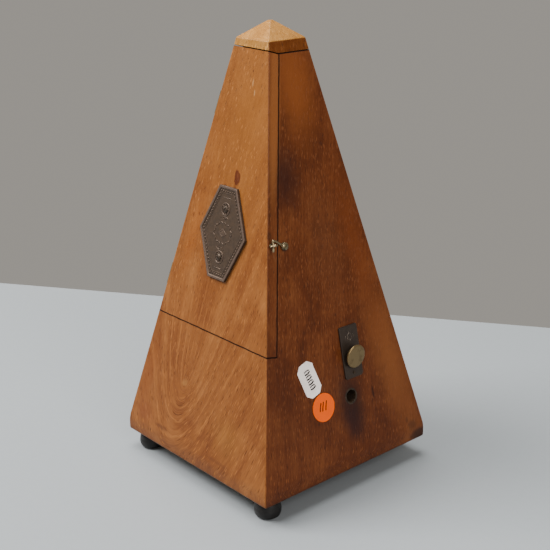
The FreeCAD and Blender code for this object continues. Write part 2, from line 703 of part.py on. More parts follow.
latch_shank = latch_bar(LATCH_SHANK, -LATCH_DEPTH, LATCH_HEAD_HIGH)
latch_head = latch_bar(LATCH_HEAD, LATCH_HEAD_LOW, LATCH_HEAD_HIGH)
side_right = side_right.cut(latch_shank)
latch_screw = latch_shank.fuse(latch_head)
eyelet = latch_bar(EYELET_RADIUS, EYELET_LOW, EYELET_HIGH)
hook_mid = (EYELET_LOW + EYELET_HIGH) / 2
hook_y = LATCH_Y - HOOK_REACH
hook = wire(WIRE, [at_right(LATCH_Y, LATCH_V, hook_mid),
                   at_right(hook_y, LATCH_V + HOOK_RISE, EYE_STANDOFF),
                   at_right(hook_y, LATCH_V + HOOK_END, EYE_STANDOFF)])
hook = join([eyelet, hook]).cut(latch_bar(LATCH_SHANK + RUNNING, 0, LATCH_HEAD))
eye_v = LATCH_V + EYE_RISE
eye_ring = Part.makeTorus(EYE_RING, EYE_WIRE, at_right(hook_y, eye_v, EYE_STANDOFF),
                          RIGHT.Rotation.multVec(V(0, 1, 0)))
eye_shank = bar(EYE_WIRE, at_right(hook_y, eye_v, -EYE_DEPTH),
                at_right(hook_y, eye_v, EYE_STANDOFF - EYE_RING))
door = door.cut(eye_shank)
latch_eye = join([eye_ring, eye_shank])

# Bell pull: plate on the side, round rod through it, flat round knob
pull_axis_low = V(PULL_INNER_X, PULL_Y, PULL_Z)
pull_axis_high = V(KNOB_X - KNOB_THICKNESS + KNOB_SEAT, PULL_Y, PULL_Z)
side_right = side_right.cut(bar(PULL_HOLE, pull_axis_low, pull_axis_high))
pull_hole = bar(PULL_RADIUS + RUNNING, V(PULL_INNER_X - MARGIN, PULL_Y, PULL_Z),
                V(OVERSIZE, PULL_Y, PULL_Z))
bell_plate = put(box(PLATE_Y, PLATE_V, (0, PLATE_THICKNESS)), RIGHT).cut(pull_hole)
plate_pin_shank = bar(PLATE_PIN_RADIUS, at_right(PULL_Y, PLATE_PIN_V, PLATE_THICKNESS - PLATE_PIN_LENGTH),
                      at_right(PULL_Y, PLATE_PIN_V, PLATE_THICKNESS))
plate_pin_head = bar(PLATE_PIN_HEAD, at_right(PULL_Y, PLATE_PIN_V, PLATE_THICKNESS),
                     at_right(PULL_Y, PLATE_PIN_V, PLATE_THICKNESS + SCREW_SLOT))
bell_plate = bell_plate.cut(plate_pin_shank)
side_right = side_right.cut(plate_pin_shank)
plate_pin = plate_pin_shank.fuse(plate_pin_head)
pull_rod = bar(PULL_RADIUS, pull_axis_low, pull_axis_high)
for i in range(NOTCH_COUNT):
    x = NOTCH_X + i * NOTCH_STEP
    ring = bar(PULL_RADIUS + MARGIN, V(x, PULL_Y, PULL_Z), V(x + NOTCH_WIDTH, PULL_Y, PULL_Z))
    core = bar(PULL_RADIUS - NOTCH_DEPTH, V(x, PULL_Y, PULL_Z), V(x + NOTCH_WIDTH, PULL_Y, PULL_Z))
    pull_rod = pull_rod.cut(ring.cut(core))
knob = bar(KNOB_RADIUS, V(KNOB_X - KNOB_THICKNESS, PULL_Y, PULL_Z), V(KNOB_X, PULL_Y, PULL_Z)).cut(pull_rod)

# Key hole with a metal bush
key_cut = bar(BUSH_RADIUS, V(BUSH_INNER_X - MARGIN, KEY_Y, KEY_Z), V(OVERSIZE, KEY_Y, KEY_Z))
side_right = side_right.cut(key_cut)
bush = bar(BUSH_RADIUS, V(BUSH_INNER_X, KEY_Y, KEY_Z), V(OVERSIZE, KEY_Y, KEY_Z)).common(outer)
bush = bush.cut(bar(KEY_RADIUS, V(0, KEY_Y, KEY_Z), V(OVERSIZE, KEY_Y, KEY_Z)))

# Paper labels
round_label = put(Part.makeCylinder(ROUND_RADIUS, PAPER, V(ROUND_Y, ROUND_V, 0)), RIGHT)
tag = [(TAG_HALF_WIDTH, TAG_HALF_LENGTH - TAG_CLIP), (TAG_HALF_WIDTH - TAG_CLIP, TAG_HALF_LENGTH)]
tag = tag + [(-x, y) for x, y in reversed(tag)]
tag = tag + [(-x, -y) for x, y in tag]
paper_label = prism(tag, 0, PAPER)
paper_label.rotate(V(0, 0, 0), V(0, 0, 1), TAG_ANGLE)
paper_label.translate(V(TAG_Y, TAG_V, 0))
paper_label = put(paper_label, RIGHT)


# Movement: two upright plates on a base, joined by pillars and by the pendulum's cocks
def profile(v, depth):
    point = at_front(0, v, depth)
    return (point.y, point.z)


plate_low = FLOOR_Z + BASE_THICKNESS
plate_outline = [(MOVEMENT_FRONT_Y, plate_low), (MOVEMENT_BACK_Y, plate_low),
                 (MOVEMENT_BACK_Y, MOVEMENT_TOP_Z), profile(EAR_HIGH_V, EAR_BACK),
                 profile(EAR_HIGH_V, EAR_FRONT), profile(EAR_LOW_V, EAR_FRONT),
                 profile(EAR_LOW_V, EAR_BACK)]
left_plate = put(prism(plate_outline, PLATE_LEFT_X, PLATE_LEFT_X + MOVEMENT_PLATE), AXLE)
right_plate = put(prism(plate_outline, PLATE_RIGHT_X, PLATE_RIGHT_X + MOVEMENT_PLATE), AXLE)
INSIDE = (PLATE_LEFT_X + MOVEMENT_PLATE, PLATE_RIGHT_X)
OUTSIDE = (PLATE_LEFT_X, PLATE_RIGHT_X + MOVEMENT_PLATE)
movement_base = box(BASE_X, BASE_Y, (FLOOR_Z, plate_low))


def axle(radius, y, z, xs):
    return bar(radius, V(xs[0], y, z), V(xs[1], y, z))


pillars = [axle(PILLAR_RADIUS, y, z, INSIDE) for y, z in PILLARS]
cocks = []
screw_spots = list(PILLARS)
for near, far in (COCK_FRONT, COCK_REAR):
    cock = front_box(INSIDE, (PIVOT_V - COCK_HALF, PIVOT_V + COCK_HALF), (near, far))
    cocks.append(cock.cut(front_bar(ARBOR_RADIUS + RUNNING, 0, PIVOT_V, (0, OVERSIZE))))
    screw_spots.append(profile(PIVOT_V, (near + far) / 2))
plate_screws = []
for y, z in screw_spots:
    for side, face in ((-1, OUTSIDE[0]), (1, OUTSIDE[1])):
        shank = axle(PLATE_SCREW_RADIUS, y, z, sorted((face, face - side * PLATE_SCREW_LENGTH)))
        head = axle(PLATE_SCREW_HEAD, y, z, sorted((face, face + side * PLATE_SCREW_HEAD_HEIGHT)))
        left_plate = left_plate.cut(shank)
        right_plate = right_plate.cut(shank)
        pillars = [p.cut(shank) for p in pillars]
        cocks = [c.cut(shank) for c in cocks]
        plate_screws.append(shank.fuse(head))
base_screws = []
for x, y in BASE_SCREWS:
    shank = bar(BASE_SCREW_RADIUS, V(x, y, FOOT_HEIGHT), V(x, y, plate_low))
    cone = Part.makeCone(BASE_SCREW_HEAD, BASE_SCREW_RADIUS, BASE_SCREW_RADIUS, V(x, y, FOOT_HEIGHT))
    made = shank.fuse(cone)
    bottom_board = bottom_board.cut(made)
    movement_base = movement_base.cut(made)
    slot = box((x - BASE_SCREW_HEAD, x + BASE_SCREW_HEAD), (y - SCREW_SLOT, y + SCREW_SLOT),
               (FOOT_HEIGHT - MARGIN, FOOT_HEIGHT + SCREW_SLOT))
    base_screws.append(made.cut(slot))


def gear(teeth, module, xs, centre, tooth_angle):
    """A spur gear along X with one tooth pointing at tooth_angle degrees in the YZ plane."""
    pitch = module * teeth / 2
    pressure = math.radians(PRESSURE_ANGLE)
    base = pitch * math.cos(pressure)
    tip = pitch + ADDENDUM * module
    root = pitch - DEDENDUM * module
    half = math.pi / teeth / 2 * TOOTH_SHARE
    flank = []
    low = max(base, root)
    for i in range(FLANK_STEPS):
        radius = low + (tip - low) * i / (FLANK_STEPS - 1)
        turn = math.acos(min(base / radius, 1))
        opened = half + (math.tan(pressure) - pressure) - (math.tan(turn) - turn)
        flank.append((radius, opened))
    flank.insert(0, (min(root, base), flank[0][1]))
    points = []
    for k in range(teeth):
        middle = math.radians(tooth_angle) + 2 * math.pi * k / teeth
        rising = [(r, middle - a) for r, a in flank]
        falling = [(r, middle + a) for r, a in reversed(flank)]
        points += [(r * math.cos(a), r * math.sin(a)) for r, a in rising + falling]
    wheel = put(prism(points, xs[0], xs[1]), AXLE)
    wheel.translate(V(0, centre[0], centre[1]))
    return wheel


def saw_wheel(teeth, tip, root, xs, centre):
    """A wheel with slanted pointed teeth."""
    points = []
    for k in range(teeth):
        angle = 2 * math.pi * k / teeth
        points.append((tip * math.cos(angle), tip * math.sin(angle)))
        points.append((root * math.cos(angle), root * math.sin(angle)))
    wheel = put(prism(points, xs[0], xs[1]), AXLE)
    wheel.translate(V(0, centre[0], centre[1]))
    return wheel


def away(centre, distance, degrees):
    angle = math.radians(degrees)
    return (centre[0] + distance * math.cos(angle), centre[1] + distance * math.sin(angle))


KEY = (KEY_Y, KEY_Z)
first_distance = WHEEL_MODULE * (WHEEL_TEETH + PINION_TEETH) / 2
second_distance = SECOND_MODULE * (SECOND_TEETH + ESCAPE_PINION_TEETH) / 2
SECOND = away(KEY, first_distance, MESH_ONE)
ESCAPE = away(SECOND, second_distance, MESH_TWO)

winding_hole = axle(WINDING_RADIUS + RUNNING, KEY_Y, KEY_Z, OUTSIDE)
winding = axle(WINDING_RADIUS, KEY_Y, KEY_Z, (OUTSIDE[0], WINDING_SHOULDER_X))
square = box((WINDING_SHOULDER_X, WINDING_END_X), (KEY_Y - SQUARE_HALF, KEY_Y + SQUARE_HALF),
             (KEY_Z - SQUARE_HALF, KEY_Z + SQUARE_HALF))
ratchet = saw_wheel(RATCHET_TEETH, RATCHET_RADIUS, RATCHET_ROOT, RATCHET_X, KEY).cut(winding)
winding = winding.fuse(square)
great_wheel = gear(WHEEL_TEETH, WHEEL_MODULE, GREAT_X, KEY, MESH_ONE).cut(winding_hole)
barrel = axle(BARREL_RADIUS, KEY_Y, KEY_Z, BARREL_X)
barrel = barrel.cut(axle(BARREL_RADIUS - BARREL_WALL, KEY_Y, KEY_Z,
                         (BARREL_X[0], BARREL_X[1] - BARREL_WALL)))
barrel = barrel.cut(winding_hole)
steps = SPRING_TURNS * SPRING_STEPS
outward = []
inward = []
for i in range(steps + 1):
    radius = SPRING_INNER + (SPRING_OUTER - SPRING_INNER) * i / steps
    angle = 2 * math.pi * i / SPRING_STEPS
    outward.append((radius * math.cos(angle), radius * math.sin(angle)))
    inward.append(((radius + SPRING_STRIP) * math.cos(angle), (radius + SPRING_STRIP) * math.sin(angle)))
mainspring = put(prism(outward + inward[::-1], SPRING_X[0], SPRING_X[1]), AXLE)
mainspring.translate(V(0, KEY_Y, KEY_Z))

second_mesh = MESH_ONE + HALF_TURN + HALF_TURN / PINION_TEETH
second = join([
    gear(PINION_TEETH, WHEEL_MODULE, SECOND_PINION_X, SECOND, second_mesh),
    gear(SECOND_TEETH, SECOND_MODULE, SECOND_WHEEL_X, SECOND, MESH_TWO),
    axle(SECOND_ARBOR, SECOND[0], SECOND[1], (INSIDE[0] + RUNNING, INSIDE[1] - RUNNING)),
    axle(SECOND_PIVOT, SECOND[0], SECOND[1], OUTSIDE)])
escape_mesh = MESH_TWO + HALF_TURN + HALF_TURN / ESCAPE_PINION_TEETH
escape = join([
    gear(ESCAPE_PINION_TEETH, SECOND_MODULE, ESCAPE_PINION_X, ESCAPE, escape_mesh),
    saw_wheel(ESCAPE_TEETH, ESCAPE_RADIUS, ESCAPE_ROOT, ESCAPE_X, ESCAPE),
    axle(ESCAPE_ARBOR, ESCAPE[0], ESCAPE[1], (INSIDE[0] + RUNNING, INSIDE[1] - RUNNING)),
    axle(ESCAPE_PIVOT, ESCAPE[0], ESCAPE[1], OUTSIDE)])
for hole in (winding_hole, axle(SECOND_PIVOT + RUNNING, SECOND[0], SECOND[1], OUTSIDE),
             axle(ESCAPE_PIVOT + RUNNING, ESCAPE[0], ESCAPE[1], OUTSIDE), pull_hole):
    left_plate = left_plate.cut(hole)
    right_plate = right_plate.cut(hole)

# Click beside the ratchet wheel, on a stud riveted to the right plate
click_centre = away(KEY, CLICK_DISTANCE, CLICK_ANGLE)
click_tip = away(KEY, CLICK_TIP_DISTANCE, CLICK_TIP_ANGLE)
right_plate = right_plate.fuse(axle(CLICK_STUD, click_centre[0], click_centre[1],
                                    (PLATE_RIGHT_X, RATCHET_X[1] + MARGIN)))
reach_y = click_tip[0] - click_centre[0]
reach_z = click_tip[1] - click_centre[1]
reach = math.hypot(reach_y, reach_z)
side_y = -reach_z / reach * CLICK_HALF
side_z = reach_y / reach * CLICK_HALF
click_arm = put(prism([(click_centre[0] + side_y, click_centre[1] + side_z),
                       (click_tip[0] + side_y, click_tip[1] + side_z),
                       (click_tip[0] - side_y, click_tip[1] - side_z),
                       (click_centre[0] - side_y, click_centre[1] - side_z)],
                      RATCHET_X[0], RATCHET_X[1]), AXLE)
click = join([click_arm, axle(CLICK_HUB, click_centre[0], click_centre[1], RATCHET_X)])
click = click.cut(axle(CLICK_STUD + RUNNING, click_centre[0], click_centre[1], (0, OVERSIZE)))

# Bell on its post, and the hammer on a stud riveted to the left plate
bell_outer = Part.makeSphere(BELL_RADIUS, V(BELL_X, BELL_Y, BELL_MOUTH_Z))
bell_inner = Part.makeSphere(BELL_RADIUS - BELL_WALL, V(BELL_X, BELL_Y, BELL_MOUTH_Z))
above_mouth = box((-OVERSIZE, OVERSIZE), (-OVERSIZE, OVERSIZE), (BELL_MOUTH_Z, LID_TOP))
shoulder = BELL_MOUTH_Z + math.sqrt((BELL_RADIUS - BELL_WALL) ** 2 - POST_RADIUS ** 2)
post = join([bar(POST_FLANGE, V(BELL_X, BELL_Y, FLOOR_Z), V(BELL_X, BELL_Y, plate_low)),
             bar(POST_RADIUS, V(BELL_X, BELL_Y, FLOOR_Z), V(BELL_X, BELL_Y, shoulder)),
             bar(BELL_HOLE, V(BELL_X, BELL_Y, FLOOR_Z), V(BELL_X, BELL_Y, POST_TOP))])
bell = bell_outer.cut(bell_inner).common(above_mouth)
bell = bell.cut(bar(BELL_HOLE, V(BELL_X, BELL_Y, BELL_MOUTH_Z), V(BELL_X, BELL_Y, POST_TOP)))
nut_low = BELL_MOUTH_Z + BELL_RADIUS
nut = Part.makeCylinder(NUT_RADIUS, NUT_HEIGHT, V(BELL_X, BELL_Y, nut_low))
nut = nut.cut(bar(BELL_HOLE, V(BELL_X, BELL_Y, nut_low - MARGIN), V(BELL_X, BELL_Y, POST_TOP + MARGIN)))
left_plate = left_plate.fuse(axle(HAMMER_STUD, HAMMER_Y, HAMMER_Z, (HAMMER_STUD_END, INSIDE[0])))
hammer_mid = (HAMMER_X[0] + HAMMER_X[1]) / 2
hammer_pivot = V(hammer_mid, HAMMER_Y, HAMMER_Z)
hammer_head = V(hammer_mid, HAMMER_HEAD_Y, HAMMER_HEAD_Z)
hammer = join([axle(HAMMER_HUB, HAMMER_Y, HAMMER_Z, HAMMER_X),
               bar(HAMMER_ARM, hammer_pivot, hammer_head),
               bar(HAMMER_ARM, hammer_pivot, V(hammer_mid, HAMMER_TAIL_Y, HAMMER_TAIL_Z)),
               Part.makeSphere(HAMMER_HEAD, hammer_head)])
hammer = hammer.cut(axle(HAMMER_STUD + RUNNING, HAMMER_Y, HAMMER_Z, (-OVERSIZE, INSIDE[0])))

for name, shape in {
    "side_panel_left": side_left, "side_panel_right": side_right, "back_panel": back_panel,
    "front_lower_panel": front_panel, "bottom_board": bottom_board, "corner_blocks": blocks,
    "top_block": top_block, "scale_board": board, "scale_plate": scale_plate, "scale_pins": scale_pins,
    "rod_clip": clip, "feet": feet, "lid_hinge_case_leaf": lid_case_leaf, "lid_hinge_pin": lid_pin,
    "door_hinge_case_leaves": case_leaves, "door_hinge_pins": door_pins, "case_screws": case_screws,
    "latch_screw": latch_screw, "bell_plate": bell_plate, "bell_plate_pin": plate_pin, "key_bush": bush,
    "paper_label": paper_label, "round_label": round_label, "movement_base": movement_base,
    "movement_plate_left": left_plate, "movement_plate_right": right_plate, "movement_pillars": pillars,
    "plate_screws": plate_screws, "base_screws": base_screws, "pendulum_cocks": cocks, "bell": bell,
    "bell_post": post, "bell_nut": nut, "front_door": door, "plaque": plaque, "plaque_screws": plaque_screws,
    "door_hinge_leaves": door_leaves, "door_screws": door_screws, "latch_eye": latch_eye, "lid": lid,
    "lid_hinge_leaf": lid_leaf, "lid_screws": lid_screws, "latch_hook": hook, "pendulum_rod": rod,
    "pendulum_arbor": arbor, "bob_arm": bob_arm, "lower_bob": lower_bob, "pallets": pallets,
    "sliding_weight": weight, "winding_arbor": winding, "ratchet_wheel": ratchet, "click": click,
    "great_wheel": great_wheel, "spring_barrel": barrel, "mainspring": mainspring,
    "second_wheel": second, "escape_wheel": escape, "bell_hammer": hammer, "pull_rod": pull_rod,
    "pull_knob": knob,
}.items():
    save(name, shape)
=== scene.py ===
import math

import bmesh
import bpy
from mathutils import Matrix, Vector


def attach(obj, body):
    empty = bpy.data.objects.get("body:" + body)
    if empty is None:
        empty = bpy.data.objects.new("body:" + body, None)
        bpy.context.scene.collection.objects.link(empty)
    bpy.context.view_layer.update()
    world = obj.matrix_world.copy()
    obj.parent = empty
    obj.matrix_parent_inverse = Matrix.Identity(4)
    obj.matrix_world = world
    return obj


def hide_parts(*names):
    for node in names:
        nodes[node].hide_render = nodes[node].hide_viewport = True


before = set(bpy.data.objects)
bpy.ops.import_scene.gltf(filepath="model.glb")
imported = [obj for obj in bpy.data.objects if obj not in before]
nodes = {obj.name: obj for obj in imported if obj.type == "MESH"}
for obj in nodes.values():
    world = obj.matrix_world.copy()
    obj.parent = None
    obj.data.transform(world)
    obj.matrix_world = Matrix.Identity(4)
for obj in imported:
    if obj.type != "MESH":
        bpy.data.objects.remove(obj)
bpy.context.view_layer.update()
MM = 0.001

# The case, in millimetres, as the frame has it
BASE_HALF = 57.5
DEPTH_RATIO = 0.981
CASE_BOTTOM = 10.0
BAND_TOP = 17.0
BODY_TOP = 216.8
ROOF_LOW = 222.7
ROOF_HIGH = 230.9
ROOF_APEX = 231.6
TAPER = 0.2203
LEAN_X = math.atan(TAPER)
LEAN_Y = math.atan(TAPER * DEPTH_RATIO)
DOOR_LOW = 64.9
DOOR_BACK = 6.55

# The joints that gather dirt and painted shade: behind the door, and under the lid, where it rises towards
# the front
SEAM_DEPTH = 6.475
SEAM_GAP = 0.22
SEAM_Y = -6.82
SEAM_RISE = 0.30
SEAM_TILT = 0.02
# Colour of the dirt and painted shade in the joints
DIRT_AND_SHADE_COLOUR = (0.009, 0.0035, 0.0025)
SEAM_ROUND = 0.22
GRAIN_SPREAD = 6.5
SHARP_DEGREES = 34.0
SOFT_DEGREES = 50.0


def half_at(z):
    return BASE_HALF - TAPER * max(z - BAND_TOP, 0)


def axes(origin, across, up):
    """A matrix from millimetres in a panel's own directions to the row frame in metres."""
    out = across.cross(up)
    turned = Matrix((across, up, out)).transposed().to_4x4()
    return Matrix.Translation(origin * MM) @ turned @ Matrix.Scale(MM, 4)


FRONT = axes(Vector((0, -BASE_HALF * DEPTH_RATIO, BAND_TOP)), Vector((1, 0, 0)),
             Vector((0, math.sin(LEAN_Y), math.cos(LEAN_Y))))
RIGHT = axes(Vector((BASE_HALF, 0, BAND_TOP)), Vector((0, 1, 0)),
             Vector((-math.sin(LEAN_X), 0, math.cos(LEAN_X))))
BACK = axes(Vector((0, BASE_HALF * DEPTH_RATIO, BAND_TOP)), Vector((-1, 0, 0)),
            Vector((0, -math.sin(LEAN_Y), math.cos(LEAN_Y))))
LEFT = axes(Vector((-BASE_HALF, 0, BAND_TOP)), Vector((0, -1, 0)),
            Vector((math.sin(LEAN_X), 0, math.cos(LEAN_X))))
TOP = axes(Vector((0, 0, ROOF_LOW)), Vector((1, 0, 0)), Vector((0, 1, 0)))


# ---------------------------------------------------------------- materials

def times(colour, factor):
    return tuple(x * factor for x in colour)


class Graph:
    """One material's nodes, wired by short calls."""

    def __init__(self, name):
        self.material = bpy.data.materials.new(name)
        self.material.use_nodes = True
        self.tree = self.material.node_tree
        self.shader = self.tree.nodes["Principled BSDF"]
        self.place = self.node("ShaderNodeTexCoord").outputs["Object"]
        self.millimetres = self.vector("SCALE", self.place, 1 / MM)

    def node(self, kind, **settings):
        made = self.tree.nodes.new(kind)
        for key, value in settings.items():
            setattr(made, key, value)
        return made

    def feed(self, socket, value):
        if isinstance(value, bpy.types.NodeSocket):
            self.tree.links.new(value, socket)
        else:
            socket.default_value = value

    def vector(self, operation, a, b):
        made = self.node("ShaderNodeVectorMath", operation=operation)
        self.feed(made.inputs[0], a)
        if operation == "SCALE":
            self.feed(made.inputs["Scale"], b)
        else:
            self.feed(made.inputs[1], b)
        return made.outputs["Value" if operation == "DOT_PRODUCT" else "Vector"]

    def length(self, a):
        made = self.node("ShaderNodeVectorMath", operation="LENGTH")
        self.feed(made.inputs[0], a)
        return made.outputs["Value"]

    def math(self, operation, a, b=0.0, clamp=False):
        made = self.node("ShaderNodeMath", operation=operation, use_clamp=clamp)
        for socket, value in zip(made.inputs, (a, b)):
            self.feed(socket, value)
        return made.outputs[0]

    def add(self, a, b, clamp=False):
        return self.math("ADD", a, b, clamp)

    def sub(self, a, b):
        return self.math("SUBTRACT", a, b)

    def mul(self, a, b):
        return self.math("MULTIPLY", a, b)

    def most(self, a, b):
        return self.math("MAXIMUM", a, b)

    def size(self, a):
        return self.math("ABSOLUTE", a)

    def at_scale(self, scale):
        """The shaded point in millimetres, scaled for a texture."""
        return self.vector("SCALE", self.millimetres, scale)

    def combine(self, x, y, z=0.0):
        made = self.node("ShaderNodeCombineXYZ")
        for socket, value in zip(made.inputs, (x, y, z)):
            self.feed(socket, value)
        return made.outputs[0]

    def split(self, a):
        made = self.node("ShaderNodeSeparateXYZ")
        self.feed(made.inputs[0], a)
        return made.outputs

    def noise(self, place, detail=3.0, rough=0.55, distortion=0.0):
        made = self.node("ShaderNodeTexNoise")
        names = ("Vector", "Scale", "Detail", "Roughness", "Distortion")
        for name, value in zip(names, (place, 1.0, detail, rough, distortion)):
            self.feed(made.inputs[name], value)
        return made.outputs["Fac"]

    def cells(self, place):
        made = self.node("ShaderNodeTexVoronoi")
        self.feed(made.inputs["Vector"], place)
        made.inputs["Scale"].default_value = 1.0
        return made.outputs["Distance"], made.outputs["Color"]

    def smooth(self, value, low, high, to_low=0.0, to_high=1.0):
        made = self.node("ShaderNodeMapRange", interpolation_type="SMOOTHSTEP")
        for socket, x in zip(made.inputs, (value, low, high, to_low, to_high)):
            self.feed(socket, x)
        return made.outputs[0]

    def mix(self, share, a, b, blend="MIX"):
        made = self.node("ShaderNodeMix", data_type="RGBA", blend_type=blend)
        for index, value in ((0, share), (6, a), (7, b)):
            if isinstance(value, tuple) and len(value) == 3:
                value = (*value, 1.0)
            self.feed(made.inputs[index], value)
        return made.outputs[2]

    def ramp(self, value, stops):
        made = self.node("ShaderNodeValToRGB")
        band = made.color_ramp
        while len(band.elements) < len(stops):
            band.elements.new(0.5)
        for element, (at, colour) in zip(band.elements, stops):
            element.position = at
            element.color = (*colour, 1.0)
        self.feed(made.inputs[0], value)
        return made.outputs[0]

    def bump(self, height, strength, distance):
        made = self.node("ShaderNodeBump")
        self.feed(made.inputs["Strength"], strength)
        self.feed(made.inputs["Distance"], distance)
        self.feed(made.inputs["Height"], height)
        self.feed(self.shader.inputs["Normal"], made.outputs[0])

    def set(self, **values):
        for name, value in values.items():
            if isinstance(value, tuple) and len(value) == 3:
                value = (*value, 1.0)
            self.feed(self.shader.inputs[name.replace("_", " ")], value)
        return self.material

    def spot(self, place, centre, radii, turn=0.0, edge=0.5):
        """1 inside an ellipse in the panel's own plane, fading to 0 at its edge."""
        moved = self.vector("SUBTRACT", place, (centre[0], centre[1], 0.0))
        c, s = math.cos(math.radians(turn)), math.sin(math.radians(turn))
        u = self.vector("DOT_PRODUCT", moved, (c / radii[0], s / radii[0], 0.0))
        v = self.vector("DOT_PRODUCT", moved, (-s / radii[1], c / radii[1], 0.0))
        return self.smooth(self.length(self.combine(u, v)), 1.0, 1.0 - edge)


def panel_place(g, panel):
    """The shaded point in a panel's own directions, in millimetres."""
    m = panel.inverted()
    parts = []
    for row in range(3):
        dot = g.vector("DOT_PRODUCT", g.place, tuple(m[row][:3]))
        parts.append(g.add(dot, m[row][3]))
    return parts


def edge_distance(g):
    """How far the shaded point is from the case's nearest upright corner edge, in millimetres."""
    x, y, z = g.split(g.millimetres)
    drop = g.mul(g.most(g.sub(z, BAND_TOP), 0.0), TAPER)
    half = g.sub(BASE_HALF, drop)
    from_x = g.sub(half, g.size(x))
    from_y = g.sub(g.mul(half, DEPTH_RATIO), g.size(y))
    return g.most(from_x, from_y), z


def seam_dirt(g):
    """Dirt settled in the joints round the door and under the lid, whose joint rises towards the front, with
    painted shade in their gaps.
    """
    u, v, w = panel_place(g, FRONT)
    x, y, z = g.split(g.millimetres)
    forward = g.most(g.sub(SEAM_Y, y), 0.0)
    over = g.sub(g.sub(z, BODY_TOP + SEAM_GAP), g.mul(forward, SEAM_RISE))
    over = g.add(over, g.mul(x, SEAM_TILT))
    wander = g.noise(g.at_scale(0.2), 2.0)
    wander = g.mul(g.sub(wander, 0.5), 0.5)
    beside = g.smooth(g.size(g.add(g.add(w, SEAM_DEPTH), wander)), 0.58, 0.22)
    beside = g.mul(beside, g.smooth(v, DOOR_LOW - 0.5, DOOR_LOW))
    beside = g.mul(beside, g.smooth(over, 0.3, -0.1))
    below = g.smooth(g.size(g.add(g.sub(v, DOOR_LOW + 0.08), wander)), 0.52, 0.18)
    below = g.mul(below, g.smooth(w, -SEAM_DEPTH - 0.5, -SEAM_DEPTH))
    under = g.smooth(g.size(over), 0.46, 0.16)
    return g.most(g.most(beside, below), under)


